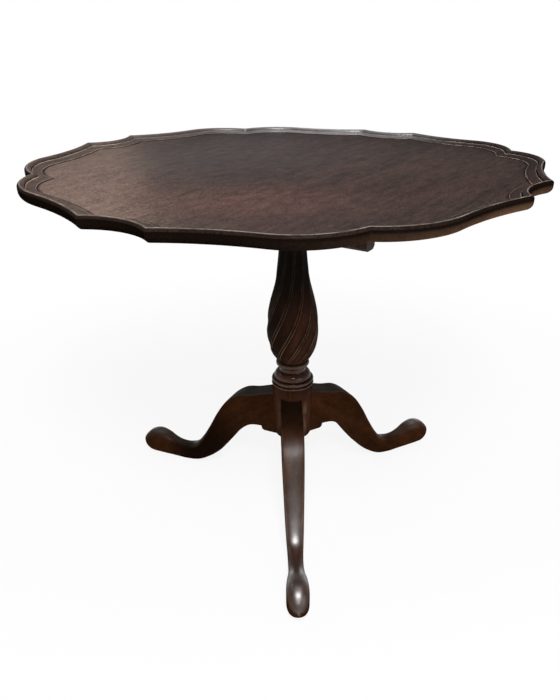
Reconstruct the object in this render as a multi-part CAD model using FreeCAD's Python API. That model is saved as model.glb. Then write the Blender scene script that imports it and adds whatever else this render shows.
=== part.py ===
import FreeCAD, Part
import math
import os

Vec = FreeCAD.Vector

# A tripod tea table in millimetres, standing on the floor at z = 0 under the middle of its tray.
# The front leg points along -Y. The dished tray top tilts on a block that is fixed on the pillar.

# Clearances
running_clearance = 0.05
body_gap = 0.3
screw_clearance = 0.1
cut_overrun = 5.0

# Tray top
table_height = 706.0
rim_height = 22.0
tray_setback = 10.0
notch_radius = 442.6
cusp_radius = 449.7
bay_radius = 427.7
cusp_angle = 37.2
notch_lead_angle = 27.7
cusp_lead_angle = 20.3
notch_direction = 11.8
under_round = 12.0
bead_width = 11.0
bead_rise = 4.0
bead_step = 1.0
cove_width = 17.5
field_depth = 9.0
field_step = 1.0

# Block on the pillar, and the pins that the tray tilts on
block_length = 304.0
block_width = 240.0
block_thickness = 42.0
pin_radius = 8.0
pin_seat = 35.0

# Bearers under the tray
bearer_width = 28.0
bearer_depth = 54.0
bearer_reach = 246.0
bearer_chamfer = 5.0
bearer_screw_seat = 14.0
bearer_screw_bite = 7.0
bearer_screw_inset = 45.0

# Screws
big_shank_radius = 2.4
big_head_radius = 4.8
small_shank_radius = 1.5
small_head_radius = 3.0

# Catch between the tray and the block
bolt_width = 12.0
bolt_thickness = 6.0
bolt_length = 48.0
bolt_drop = 12.0
bolt_entry = 8.0
bolt_bevel_share = 0.33
bolt_travel = 10.0
bolt_play = 0.3
case_wall = 2.5
case_setback = 4.0
case_flange = 11.0
knob_radius = 6.5
knob_height = 9.0
knob_stem_radius = 3.0
knob_round_share = 0.33
knob_waist_shares = (0.55, 0.3)
keeper_length = 44.0
keeper_height = 15.0
keeper_thickness = 2.0
catch_screw_bite = 6.5
keeper_screw_bite = 12.0

# Pillar, from its underside up
pillar_clearance = 143.0
base_height = 121.5
base_radius = 42.0
base_foot_radius = 38.5
base_foot_round = 9.0
thin_ring_height = 4.0
thin_ring_radius = 43.2
groove_height = 3.0
groove_radius = 39.6
torus_height = 8.0
torus_radius = 43.0
dome_height = 16.0
dome_radius = 37.5
neck_height = 10.0
neck_radius = 27.3
neck_hollow = 1.1
ring_height = 13.0
ring_radius = 34.0
vase_radius = 50.9
astragal_height = 9.0
astragal_radius = 30.0
capital_height = 26.0
capital_radius = 44.0
tenon_radius = 22.0
tenon_drop = 1.0

# Spiral reeding of the vase: broad hollows between narrow ridges
reed_count = 10
reed_twist = 100.0
reed_twist_power = 2.3
reed_phase = -1.0
ridge_share = 0.28
ridge_proud_share = 0.030
hollow_depth_share = 0.030
vase_outline_shares = (
    (0.0, 0.61), (0.029, 0.737), (0.059, 0.825), (0.107, 0.923), (0.175, 0.982), (0.2425, 1.0),
    (0.317, 0.970), (0.385, 0.9155), (0.453, 0.831), (0.52, 0.727), (0.588, 0.640), (0.666, 0.5815),
    (0.775, 0.5226), (0.887, 0.491), (1.0, 0.481))

# Wedge that spreads the pillar's tenon in the block
wedge_depth = 30.0
wedge_thickness = 4.0
wedge_tip_thickness = 1.5

# Legs
leg_reach = 390.0
leg_top = 238.0
leg_thickness = 44.0
leg_directions = {"front": -90.0, "right": 30.0, "left": 154.0}
bracket_reach = 63.0
bracket_height = 143.0
bracket_step = 7.0
tongue_depth = 18.0
tongue_neck = 14.0
tongue_tail = 20.0
tongue_shoulder = 18.0
# Each row follows the leg outwards: top reach, top height, bottom reach, bottom height as shares
# of the leg's reach and top, then the width as a share of the thickness, and the corner rounding
# as a share of half the smaller side.
leg_station_shares = (
    (0.061, 1.0257, 0.061, 0.6408, 1.0089, 0.07),
    (0.131, 0.9941, 0.131, 0.6403, 1.0095, 0.07),
    (0.217, 0.9462, 0.187, 0.6391, 1.0098, 0.07),
    (0.3005, 0.912, 0.24, 0.6179, 1.0095, 0.08),
    (0.379, 0.8139, 0.288, 0.5567, 0.9902, 0.11),
    (0.4444, 0.663, 0.336, 0.4626, 0.9501, 0.17),
    (0.5025, 0.4902, 0.389, 0.3446, 0.891, 0.26),
    (0.5606, 0.3353, 0.452, 0.2198, 0.827, 0.4),
    (0.621, 0.2168, 0.528, 0.1111, 0.7452, 0.55),
    (0.682, 0.1789, 0.609, 0.0317, 0.661, 0.68),
    (0.735, 0.1773, 0.707, 0, 0.6417, 0.78),
    (0.785, 0.1966, 0.78, 0, 0.7119, 0.8),
    (0.841, 0.2385, 0.843, 0, 0.8463, 0.82),
    (0.8965, 0.2525, 0.899, 0, 0.9343, 0.84),
    (0.9444, 0.2237, 0.9356, 0.002, 0.9085, 0.86),
    (0.975, 0.1788, 0.967, 0.0214, 0.74, 0.9),
    (0.991, 0.1436, 0.987, 0.051, 0.4954, 0.94),
    (0.999, 0.1202, 0.999, 0.0763, 0.1713, 0.94))

# Iron plate under the pillar
plate_thickness = 3.0
plate_hub_radius = 16.0
plate_arm_width = 15.0
plate_screw_radius = 28.0
plate_screw_bite = 20.0

# Places that follow from the sizes above
tray_under = table_height - rim_height
block_top = tray_under - body_gap
block_under = block_top - block_thickness
pivot_level = block_top - block_thickness / 2
block_half = block_width / 2
pivot_reach = block_half - block_thickness / 2
bearer_inner = block_length / 2 + body_gap
catch_direction = notch_direction - 45
moulding_level = pillar_clearance + base_height
ring_level = moulding_level + thin_ring_height + groove_height + torus_height + dome_height + neck_height
vase_level = ring_level + ring_height
vase_top = block_under - capital_height - astragal_height
vase_height = vase_top - vase_level
tenon_top = block_top - tenon_drop
bolt_level = tray_under - bolt_drop
case_front = block_half + case_setback
bolt_tip = block_half - bolt_entry
bolt_back = bolt_tip + bolt_length
case_back = bolt_back + bolt_travel + case_wall + bolt_play
case_under = bolt_level - bolt_thickness / 2 - bolt_play - case_wall
case_half = bolt_width / 2 + bolt_play + case_wall
knob_reach = (case_front + case_wall + bolt_back) / 2
flange_under = tray_under - case_wall
diagonal_share = math.sqrt(0.5)


def polar(radius, degrees, z=0):
    """Point at a radius and a direction about the Z axis."""
    turn = math.radians(degrees)
    return Vec(radius * math.cos(turn), radius * math.sin(turn), z)


def box(low, high):
    """Block between two opposite corners."""
    size = high - low
    return Part.makeBox(size.x, size.y, size.z, low)


def rod(radius, start, end):
    """Cylinder from one point to another."""
    axis = end - start
    return Part.makeCylinder(radius, axis.Length, start, axis)


def prism(points, sweep):
    """Flat polygon pushed along a vector."""
    return Part.Face(Part.makePolygon(points + points[:1])).extrude(sweep)


def facing_catch(shape):
    """Turn a shape built with the catch along +X to its place in the table."""
    return shape.rotated(Vec(0, 0, 0), Vec(0, 0, 1), catch_direction)


def lathe(steps):
    """Turn a profile about the Z axis: steps are (r, z) corners, or (r, z, r, z) arcs via a point."""
    edges = []
    here = Vec(0, 0, steps[0][1])
    for step in steps:
        there = Vec(step[-2], 0, step[-1])
        if len(step) == 4:
            edges.append(Part.Arc(here, Vec(step[0], 0, step[1]), there).toShape())
        elif there.distanceToPoint(here) > 0:
            edges.append(Part.makeLine(here, there))
        here = there
    axis_top = Vec(0, 0, steps[-1][-1])
    edges.append(Part.makeLine(here, axis_top))
    edges.append(Part.makeLine(axis_top, Vec(0, 0, steps[0][1])))
    return Part.Face(Part.Wire(edges)).revolve(Vec(0, 0, 0), Vec(0, 0, 1), 360)


def wood_screw(head, inward, shank_radius, head_radius, length, play=0):
    """Countersunk screw with the middle of its head at a point, or its hole with some play."""
    head_height = head_radius - shank_radius
    cone = Part.makeCone(head_radius + play, shank_radius + play, head_height, head, inward)
    shank = Part.makeCylinder(shank_radius + play, length + play, head, inward)
    return cone.fuse(shank).removeSplitter()


def save(shape, name):
    """Write one piece of the table and print its volume."""
    placed = shape.translated(polar(tray_setback, catch_direction))
    placed.exportStep("parts/" + name + ".step")
    print(name, len(placed.Solids), placed.isValid(), round(placed.Volume))


def arc_centre(start, tangent, end):
    """Centre and signed radius of the arc that leaves start along tangent and reaches end."""
    left = Vec(-tangent.y, tangent.x, 0)
    chord = end - start
    radius = chord.dot(chord) / (2 * chord.dot(left))
    return start + left * radius, radius


def arc_middle(centre, radius, start, end):
    """Point half way along an arc."""
    toward = (start - centre) + (end - centre)
    toward.normalize()
    return centre + toward * abs(radius)


def rim_arcs():
    """Centres and radii of the lobe, the hollow and the bay of the rim, and the lobe's end."""
    notch = polar(notch_radius, 0)
    cusp = polar(cusp_radius, cusp_angle)
    leave = polar(1, 90 - notch_lead_angle)
    arrive = polar(1, cusp_angle + 90 - cusp_lead_angle)
    chord = cusp - notch
    square = 2 * (1 - leave.dot(arrive))
    slope = 2 * chord.dot(leave + arrive)
    reach = (math.sqrt(slope ** 2 + 4 * square * chord.dot(chord)) - slope) / (2 * square)
    join = (notch + cusp + (leave - arrive) * reach) * 0.5
    lobe, lobe_radius = arc_centre(notch, leave, join)
    hollow, hollow_radius = arc_centre(cusp, -arrive, join)
    middle = polar(1, 45)
    depth = cusp - middle * bay_radius
    bay_arc = depth.dot(depth) / (2 * depth.dot(middle))
    bay = middle * (bay_radius + bay_arc)
    return (lobe, lobe_radius), (hollow, abs(hollow_radius)), (bay, bay_arc), join


def circle_crossing(first, first_radius, second, second_radius, near):
    """The crossing of two circles that lies nearer to a point."""
    between = second - first
    along = (first_radius ** 2 - second_radius ** 2 + between.Length ** 2) / (2 * between.Length)
    across = math.sqrt(first_radius ** 2 - along ** 2)
    between.normalize()
    foot = first + between * along
    side = Vec(-between.y, between.x, 0) * across
    return min((foot + side, foot - side), key=near.distanceToPoint)


def rim_quarter(inset):
    """Corner and mid points, in turn, of a quarter of the rim's outline moved inwards by inset."""
    (lobe, lobe_radius), (hollow, hollow_radius), (bay, bay_arc), join = rim_arcs()
    lobe_inset = lobe_radius - inset
    hollow_inset = hollow_radius + inset
    notch_in = Vec(lobe.x + math.sqrt(lobe_inset ** 2 - lobe.y ** 2), 0, 0)
    join_in = lobe + (join - lobe) * (lobe_inset / lobe_radius)
    cusp = polar(cusp_radius, cusp_angle)
    cusp_in = circle_crossing(hollow, hollow_inset, bay, bay_arc + inset, cusp)
    half = [notch_in, arc_middle(lobe, lobe_inset, notch_in, join_in), join_in,
            arc_middle(hollow, hollow_inset, join_in, cusp_in), cusp_in]
    mirrored = [Vec(point.y, point.x, 0) for point in reversed(half)]
    return half + [polar(bay_radius - inset, 45)] + mirrored[:-1]


def rim_outline(inset, level):
    """Closed outline of the tray, moved inwards by inset, at a level."""
    points = []
    middle = polar(-tray_setback, catch_direction, level)
    for quarter in range(4):
        turn = FreeCAD.Rotation(Vec(0, 0, 1), notch_direction + 90 * quarter)
        points += [turn.multVec(point) + middle for point in rim_quarter(inset)]
    points.append(points[0])
    edges = [Part.Arc(*points[i:i + 3]).toShape() for i in range(0, len(points) - 2, 2)]
    return Part.Wire(edges)


def rim_profile():
    """Insets and levels of the rim's section: under edge, bead, step, cove and step to the field."""
    turns = [math.radians(30 * step) for step in range(7)]
    bead_level = table_height - bead_rise
    cove_level = bead_level - bead_step
    field_level = table_height - field_depth
    cove_fall = cove_level - field_level - field_step
    half_bead = bead_width / 2
    rings = [(under_round * (1 - math.sin(turn)), tray_under + under_round * (1 - math.cos(turn)))
             for turn in turns[:4]]
    rings += [(half_bead * (1 - math.cos(turn)), bead_level + bead_rise * math.sin(turn)) for turn in turns]
    rings += [(bead_width + cove_width * (1 - math.cos(turn)), cove_level - cove_fall * math.sin(turn))
              for turn in turns[:4]]
    return rings + [(bead_width + cove_width, field_level)]


def tray_top():
    """Dished board with a moulded rim, and the holes of the screws that come up into it."""
    tray = Part.makeLoft([rim_outline(inset, level) for inset, level in rim_profile()], True, True)
    for place in bearer_screw_places():
        tray = tray.cut(bearer_screw(place, screw_clearance))
    for place in catch_screw_places():
        tray = tray.cut(catch_screw(place, screw_clearance))
    return tray


def bearer(side):
    """Rail under the tray, chamfered along its lower edges, with a bore for the pivot pin."""
    low = tray_under - bearer_depth
    width = side * bearer_width
    across = [(0, tray_under), (0, low + bearer_chamfer), (side * bearer_chamfer, low),
              (width - side * bearer_chamfer, low), (width, low + bearer_chamfer), (width, tray_under)]
    back = -tray_setback - bearer_reach
    outline = [Vec(back, side * bearer_inner + y, z) for y, z in across]
    rail = facing_catch(prism(outline, Vec(bearer_reach * 2, 0, 0)))
    rail = rail.cut(pivot_pin(side, running_clearance))
    for place in bearer_screw_places():
        if place.y * side > 0:
            rail = rail.cut(bearer_screw(place, screw_clearance))
    return rail


def bearer_screw_places():
    """Places of the bearers' screws, before turning to the catch."""
    across = bearer_inner + bearer_width / 2
    outer = bearer_reach - bearer_screw_inset
    reaches = [end * outer - tray_setback for end in (-1, 0, 1)]
    level = tray_under - bearer_screw_seat
    return [Vec(reach, side * across, level) for side in (-1, 1) for reach in reaches]


def bearer_screw(place, play=0):
    """Screw up through a bearer into the tray, or its hole with the sunk well below the head."""
    length = bearer_screw_seat + bearer_screw_bite
    screw = wood_screw(place, Vec(0, 0, 1), big_shank_radius, big_head_radius, length, play)
    if play:
        well = rod(big_head_radius + play, place - Vec(0, 0, bearer_depth), place)
        screw = screw.fuse(well)
    return facing_catch(screw)


def pivot_pin(side, play=0):
    """Round pin fixed in the end of the block, on which a bearer turns."""
    start = Vec(-pivot_reach, side * (block_length / 2 - pin_seat), pivot_level)
    end = Vec(-pivot_reach, side * (bearer_inner + bearer_width), pivot_level)
    return facing_catch(rod(pin_radius + play, start, end))


def pivot_block():
    """Block with a round back about the pivot axis, the tenon's hole and the catch bolt's mortise."""
    half = Vec(block_half, block_length / 2, 0)
    body = box(Vec(0, 0, block_under) - half, Vec(0, 0, block_top) + half)
    behind = box(Vec(-block_half - cut_overrun, -block_length, block_under - cut_overrun),
                 Vec(-pivot_reach, block_length, block_top + cut_overrun))
    barrel = rod(block_thickness / 2, Vec(-pivot_reach, -block_length / 2, pivot_level),
                 Vec(-pivot_reach, block_length / 2, pivot_level))
    body = body.cut(behind).fuse(barrel).removeSplitter()
    hole = rod(tenon_radius + running_clearance, Vec(0, 0, block_under - cut_overrun),
               Vec(0, 0, block_top + cut_overrun))
    body = body.cut(hole).cut(keeper_blank())
    body = body.cut(bolt_mortise(block_half - bolt_entry - case_setback))
    for place in keeper_screw_places():
        body = body.cut(keeper_screw_form(place, screw_clearance))
    body = facing_catch(body)
    for side in (-1, 1):
        body = body.cut(pivot_pin(side))
    return body


def bolt_mortise(start):
    """Room for the catch bolt from a reach out to the front of the block."""
    half_width = bolt_width / 2 + bolt_play * 2
    half_height = bolt_thickness / 2 + bolt_play * 2
    return box(Vec(start, -half_width, bolt_level - half_height),
               Vec(block_half + cut_overrun, half_width, bolt_level + half_height))


def keeper_blank():
    """Plate let in flush with the front edge of the block."""
    return box(Vec(block_half - keeper_thickness, -keeper_length / 2, bolt_level - keeper_height / 2),
               Vec(block_half, keeper_length / 2, bolt_level + keeper_height / 2))


def keeper_screw_places():
    """Places of the keeper's two screws."""
    reach = (keeper_length / 2 + bolt_width / 2) / 2
    return [Vec(block_half, side * reach, bolt_level) for side in (-1, 1)]


def keeper_screw_form(place, play=0):
    """Screw of the keeper, before turning to the catch."""
    return wood_screw(place, Vec(-1, 0, 0), small_shank_radius, small_head_radius, keeper_screw_bite, play)


def catch_keeper():
    """Brass keeper plate with the bolt's slot and its countersunk holes."""
    plate = keeper_blank().cut(bolt_mortise(bolt_tip))
    for place in keeper_screw_places():
        plate = plate.cut(keeper_screw_form(place, screw_clearance))
    return facing_catch(plate)


def catch_case():
    """Brass case under the tray: a screwed flange, a box for the bolt and a slot for its knob."""
    flange = box(Vec(case_front, -case_half - case_flange, flange_under),
                 Vec(case_back, case_half + case_flange, tray_under))
    body = box(Vec(case_front, -case_half, case_under), Vec(case_back, case_half, flange_under))
    half_room = bolt_width / 2 + bolt_play
    room = box(Vec(case_front - cut_overrun, -half_room, bolt_level - bolt_thickness / 2 - bolt_play),
               Vec(case_back - case_wall, half_room, bolt_level + bolt_thickness / 2 + bolt_play))
    half_slot = knob_stem_radius + bolt_play
    slot = box(Vec(knob_reach - half_slot, -half_slot, case_under - cut_overrun),
               Vec(knob_reach + bolt_travel + half_slot, half_slot, bolt_level))
    case = flange.fuse(body).removeSplitter().cut(room).cut(slot)
    case = facing_catch(case)
    for place in catch_screw_places():
        case = case.cut(catch_screw(place, screw_clearance))
    return case


def catch_screw_places():
    """Places of the four screws of the catch's flange, before turning to the catch."""
    reach = case_half + case_flange / 2
    inset = case_flange / 2
    return [Vec(x, side * reach, flange_under)
            for x in (case_front + inset, case_back - inset) for side in (-1, 1)]


def catch_screw(place, play=0):
    """Screw up through the flange into the tray."""
    screw = wood_screw(place, Vec(0, 0, 1), small_shank_radius, small_head_radius,
                       case_wall + catch_screw_bite, play)
    return facing_catch(screw)


def catch_bolt():
    """Sliding bolt with a hole for the knob's stem and a bevelled tip."""
    half = bolt_thickness / 2
    outline = [Vec(bolt_tip, -bolt_width / 2, bolt_level - half * bolt_bevel_share),
               Vec(bolt_tip + half, -bolt_width / 2, bolt_level - half),
               Vec(bolt_back, -bolt_width / 2, bolt_level - half),
               Vec(bolt_back, -bolt_width / 2, bolt_level + half),
               Vec(bolt_tip, -bolt_width / 2, bolt_level + half)]
    bolt = prism(outline, Vec(0, bolt_width, 0))
    stem = rod(knob_stem_radius, Vec(knob_reach, 0, case_under), Vec(knob_reach, 0, bolt_level))
    return facing_catch(bolt.cut(stem))


def catch_knob():
    """Turned thumb knob, whose stem is riveted into the bolt."""
    top = case_under - bolt_play
    low = top - knob_height
    round_over = knob_radius * knob_round_share
    wide_share, narrow_share = knob_waist_shares
    steps = [(knob_radius - round_over, low), (knob_radius, low + round_over),
             (knob_radius, top - knob_height * wide_share),
             (knob_stem_radius, top - knob_height * narrow_share), (knob_stem_radius, bolt_level)]
    return facing_catch(lathe(steps).translated(Vec(knob_reach, 0, 0)))


def reeded_section(share, radius):
    """Closed section of the vase: broad hollows between narrow ridges, turned with the height."""
    start = reed_phase + reed_twist * (1 - (1 - share) ** reed_twist_power)
    level = vase_level + vase_height * share
    pitch = 360 / reed_count
    half_ridge = pitch * ridge_share / 2
    low = radius * (1 - ridge_proud_share)
    edges = []
    for reed in range(reed_count):
        middle = start + pitch * reed
        ridge_from = polar(low, middle - half_ridge, level)
        ridge_to = polar(low, middle + half_ridge, level)
        hollow_to = polar(low, middle + pitch - half_ridge, level)
        edges.append(Part.Arc(ridge_from, polar(radius, middle, level), ridge_to).toShape())
        bottom = polar(low * (1 - hollow_depth_share), middle + pitch / 2, level)
        edges.append(Part.Arc(ridge_to, bottom, hollow_to).toShape())
    return Part.Wire(edges)


def reeded_vase():
    """Swelling vase of the pillar, with its reeding wound more steeply towards the top."""
    sections = [reeded_section(share, vase_radius * r) for share, r in vase_outline_shares]
    return Part.makeLoft(sections, True, False)


def pillar_base():
    """Turned base below the vase: leg drum, rings, dome, neck and the ring under the vase."""
    foot = pillar_clearance
    corner = base_foot_round * (1 - diagonal_share)
    ring = moulding_level + thin_ring_height
    torus = ring + groove_height
    dome = torus + torus_height
    neck = dome + dome_height
    dome_swell = (dome_radius - neck_radius) * diagonal_share
    steps = [(base_foot_radius - base_foot_round, foot),
             (base_foot_radius - corner, foot + corner, base_foot_radius, foot + base_foot_round),
             (base_radius, moulding_level),
             (thin_ring_radius, moulding_level + thin_ring_height / 2, base_radius, ring),
             (groove_radius, ring), (groove_radius, torus),
             (torus_radius, torus + torus_height / 2, groove_radius, dome),
             (dome_radius, dome),
             (neck_radius + dome_swell, dome + dome_height * diagonal_share, neck_radius, neck),
             (neck_radius - neck_hollow, neck + neck_height / 2, neck_radius, ring_level),
             (ring_radius, ring_level + ring_height / 2, neck_radius, vase_level)]
    return lathe(steps)


def pillar_top():
    """Ring and flared capital above the vase, and the tenon that holds the block."""
    small = vase_radius * vase_outline_shares[-1][1]
    capital = vase_top + astragal_height
    flare = (capital_radius - small) * diagonal_share
    steps = [(small, vase_top), (astragal_radius, vase_top + astragal_height / 2, small, capital),
             (capital_radius - flare, capital + capital_height * diagonal_share,
              capital_radius, block_under),
             (tenon_radius, block_under), (tenon_radius, tenon_top)]
    return lathe(steps)


def tongue(direction):
    """Dovetail tongue of a leg, running from the pillar's underside up."""
    inner = base_foot_radius - tongue_depth
    low = pillar_clearance
    outline = [Vec(inner, -tongue_tail / 2, low), Vec(inner, tongue_tail / 2, low),
               Vec(base_radius, tongue_neck / 2, low), Vec(base_radius, -tongue_neck / 2, low)]
    rise = leg_top - tongue_shoulder - pillar_clearance
    return prism(outline, Vec(0, 0, rise)).rotated(Vec(0, 0, 0), Vec(0, 0, 1), direction)


def pillar_blank():
    """Pillar before its joints are cut."""
    return pillar_base().fuse([reeded_vase(), pillar_top()]).removeSplitter()


def pillar(blank):
    """Pillar with the housings of the legs and the kerf of the wedge."""
    shape = blank
    for direction in leg_directions.values():
        shape = shape.cut(tongue(direction))
    return shape.cut(tenon_wedge())


def tenon_wedge():
    """Thin wedge driven into the top of the pillar's tenon, trimmed round with it."""
    half = wedge_thickness / 2
    tip = wedge_tip_thickness / 2
    low = tenon_top - wedge_depth
    outline = [Vec(-tip, -tenon_radius, low), Vec(tip, -tenon_radius, low),
               Vec(half, -tenon_radius, tenon_top), Vec(-half, -tenon_radius, tenon_top)]
    blade = facing_catch(prism(outline, Vec(0, tenon_radius * 2, 0)))
    return blade.common(rod(tenon_radius, Vec(0, 0, block_under), Vec(0, 0, tenon_top)))


def leg_section(row):
    """Closed section of a leg: a rectangle with rounded corners, leaning with the leg."""
    top_reach, top_height, low_reach, low_height, width_share, corner_share = row
    top = Vec(leg_reach * top_reach, 0, leg_top * top_height)
    low = Vec(leg_reach * low_reach, 0, leg_top * low_height)
    up = top - low
    height = up.Length
    up.normalize()
    half_width = leg_thickness * width_share / 2
    corner = min(height / 2, half_width) * corner_share
    inset = corner * (1 - diagonal_share)
    side = Vec(0, 1, 0)
    left, right = -half_width, half_width

    def at(across, rise):
        return low + side * across + up * rise

    corners = ((left, height, 1, -1), (right, height, -1, -1), (right, 0, -1, 1), (left, 0, 1, 1))
    edges = []
    ends = []
    for turn, (across, rise, inward, upward) in enumerate(corners):
        flat = at(across + inward * corner, rise)
        upright = at(across, rise + upward * corner)
        middle = at(across + inward * inset, rise + upward * inset)
        first, last = (upright, flat) if turn % 2 == 0 else (flat, upright)
        ends.append((first, last))
        edges.append((first, middle, last))
    wire = []
    for turn in range(4):
        wire.append(Part.Arc(*edges[turn]).toShape())
        wire.append(Part.makeLine(ends[turn][1], ends[(turn + 1) % 4][0]))
    return Part.Wire(wire)


def leg_bracket():
    """Small stepped bracket under a leg where it meets the pillar."""
    high = bracket_height + bracket_step
    back = bracket_reach - bracket_step
    half = leg_thickness / 2
    diagonal = bracket_step * diagonal_share
    start = Vec(0, -half, bracket_height)
    heel = Vec(back, -half, bracket_height)
    tip = Vec(bracket_reach, -half, high)
    top = Vec(bracket_reach, -half, high + bracket_step)
    edges = [Part.makeLine(start, heel),
             Part.Arc(heel, Vec(back + diagonal, -half, high - diagonal), tip).toShape(),
             Part.makeLine(tip, top),
             Part.makeLine(top, Vec(0, -half, high + bracket_step)),
             Part.makeLine(Vec(0, -half, high + bracket_step), start)]
    return Part.Face(Part.Wire(edges)).extrude(Vec(0, leg_thickness, 0))


def leg(direction, blank):
    """Cabriole leg ending in a round foot, with its dovetail tongue in the pillar."""
    body = Part.makeLoft([leg_section(row) for row in leg_station_shares], True, False)
    floor = box(Vec(-leg_reach, -leg_reach, -leg_top), Vec(leg_reach * 2, leg_reach, 0))
    body = body.fuse(leg_bracket()).cut(floor).rotated(Vec(0, 0, 0), Vec(0, 0, 1), direction)
    body = body.cut(blank)
    body = max(body.Solids, key=lambda solid: solid.BoundBox.DiagonalLength)
    body = body.fuse(tongue(direction).common(blank)).removeSplitter()
    return body.cut(plate_screw(direction, screw_clearance))


def plate_screw(direction, play=0):
    """Screw up through the plate into a leg's tongue."""
    head = polar(plate_screw_radius, direction, pillar_clearance - plate_thickness)
    return wood_screw(head, Vec(0, 0, 1), big_shank_radius, big_head_radius, plate_screw_bite, play)


def spider_plate():
    """Three-armed iron plate that keeps the legs from dropping out of their housings."""
    low = pillar_clearance - plate_thickness
    half_arm = plate_arm_width / 2
    plate = rod(plate_hub_radius, Vec(0, 0, low), Vec(0, 0, pillar_clearance))
    for direction in leg_directions.values():
        arm = box(Vec(0, -half_arm, low), Vec(plate_screw_radius, half_arm, pillar_clearance))
        tip = polar(plate_screw_radius, direction, low)
        plate = plate.fuse(arm.rotated(Vec(0, 0, 0), Vec(0, 0, 1), direction))
        plate = plate.fuse(rod(half_arm, tip, tip + Vec(0, 0, plate_thickness)))
    plate = plate.removeSplitter()
    for direction in leg_directions.values():
        plate = plate.cut(plate_screw(direction, screw_clearance))
    return plate


os.makedirs("parts", exist_ok=True)

blank = pillar_blank()
save(pillar(blank), "pillar")
for name, direction in leg_directions.items():
    save(leg(direction, blank), "leg_" + name)
    save(plate_screw(direction), "plate_screw_" + name)
save(spider_plate(), "spider_plate")
save(tenon_wedge(), "tenon_wedge")
save(pivot_block(), "pivot_block")
save(catch_keeper(), "catch_keeper")
for number, place in enumerate(keeper_screw_places(), 1):
    save(facing_catch(keeper_screw_form(place)), "keeper_screw_" + str(number))
save(tray_top(), "tray_top")
for name, side in (("near", -1), ("far", 1)):
    save(bearer(side), "bearer_" + name)
    save(pivot_pin(side), "pivot_pin_" + name)
for number, place in enumerate(bearer_screw_places(), 1):
    save(bearer_screw(place), "bearer_screw_" + str(number))
save(catch_case(), "catch_case")
for number, place in enumerate(catch_screw_places(), 1):
    save(catch_screw(place), "catch_screw_" + str(number))
save(catch_bolt(), "catch_bolt")
save(catch_knob(), "catch_knob")
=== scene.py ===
"""Looks of a tray top tea table: cupped tray, spiral-reeded pillar and three cabriole legs."""

import logging
import math
from dataclasses import dataclass, field, replace
from enum import Enum
from typing import Any, Sequence, TypeAlias

import bmesh
import bpy
from mathutils import Matrix, Vector


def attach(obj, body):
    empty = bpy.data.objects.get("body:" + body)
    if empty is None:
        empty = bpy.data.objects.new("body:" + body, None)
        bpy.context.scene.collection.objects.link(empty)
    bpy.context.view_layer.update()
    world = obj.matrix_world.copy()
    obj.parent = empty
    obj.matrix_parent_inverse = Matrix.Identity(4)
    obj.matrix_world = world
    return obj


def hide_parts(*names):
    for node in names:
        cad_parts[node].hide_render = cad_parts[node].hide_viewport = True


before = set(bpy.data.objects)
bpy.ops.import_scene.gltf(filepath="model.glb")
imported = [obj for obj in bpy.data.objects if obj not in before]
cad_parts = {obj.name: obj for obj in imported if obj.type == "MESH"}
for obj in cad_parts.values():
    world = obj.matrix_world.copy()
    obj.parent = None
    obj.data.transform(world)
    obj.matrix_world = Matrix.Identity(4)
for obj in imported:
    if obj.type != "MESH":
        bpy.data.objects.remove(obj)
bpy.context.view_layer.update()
log = logging.getLogger("tea_table")

Colour: TypeAlias = tuple[float, float, float]
Triple: TypeAlias = tuple[float, float, float]
Span: TypeAlias = tuple[float, float]
Number: TypeAlias = "Value | float"

CATCH_DIRECTION = -33.2
TRAY_SETBACK = 0.010
NOISE_MIDDLE = 0.5


def polar(radius: float, degrees: float, z: float = 0.0) -> Vector:
    """Point at a radius in metres and a direction from +X about the Z axis."""
    turn = math.radians(degrees)
    return Vector((radius * math.cos(turn), radius * math.sin(turn), z))


PILLAR_AXIS = polar(TRAY_SETBACK, CATCH_DIRECTION)
ALONG_CATCH = polar(1.0, CATCH_DIRECTION)
ACROSS_CATCH = polar(1.0, CATCH_DIRECTION + 90)


def smooth_step(value: float, low: float, high: float) -> float:
    """Rise smoothly from 0 at low to 1 at high."""
    share = min(max((value - low) / (high - low), 0.0), 1.0)
    return share * share * (3 - 2 * share)


def hump(value: float, rise: Span, fall: Span) -> float:
    """Rise smoothly from 0 to 1 over one span and fall back over another."""
    return smooth_step(value, *rise) * (1 - smooth_step(value, *fall))


def bell(value: float, middle: float, width: float) -> float:
    """Swell that is 1 at the middle and dies away on both sides."""
    return math.exp(-((value - middle) / width) ** 2)


def arc_through(start: Vector, middle: Vector, end: Vector, count: int) -> list[Vector]:
    """Points along the circle through three points in the XZ plane.

    Args:
        start: First point, which is left out of the result.
        middle: A point between the ends.
        end: Last point, which is the last of the result.
        count: Number of points returned.

    Returns:
        The points after start, up to and with end.
    """
    ax, ay, bx, by, cx, cy = start.x, start.z, middle.x, middle.z, end.x, end.z
    twice = 2 * (ax * (by - cy) + bx * (cy - ay) + cx * (ay - by))
    a2, b2, c2 = ax * ax + ay * ay, bx * bx + by * by, cx * cx + cy * cy
    ux = (a2 * (by - cy) + b2 * (cy - ay) + c2 * (ay - by)) / twice
    uy = (a2 * (cx - bx) + b2 * (ax - cx) + c2 * (bx - ax)) / twice
    radius = math.hypot(ax - ux, ay - uy)
    first = math.atan2(ay - uy, ax - ux)
    via = (math.atan2(by - uy, bx - ux) - first) % math.tau
    last = (math.atan2(cy - uy, cx - ux) - first) % math.tau
    sweep = last if via < last else last - math.tau
    turns = [first + sweep * (step + 1) / count for step in range(count)]
    return [Vector((ux + radius * math.cos(t), 0, uy + radius * math.sin(t))) for t in turns]


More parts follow.
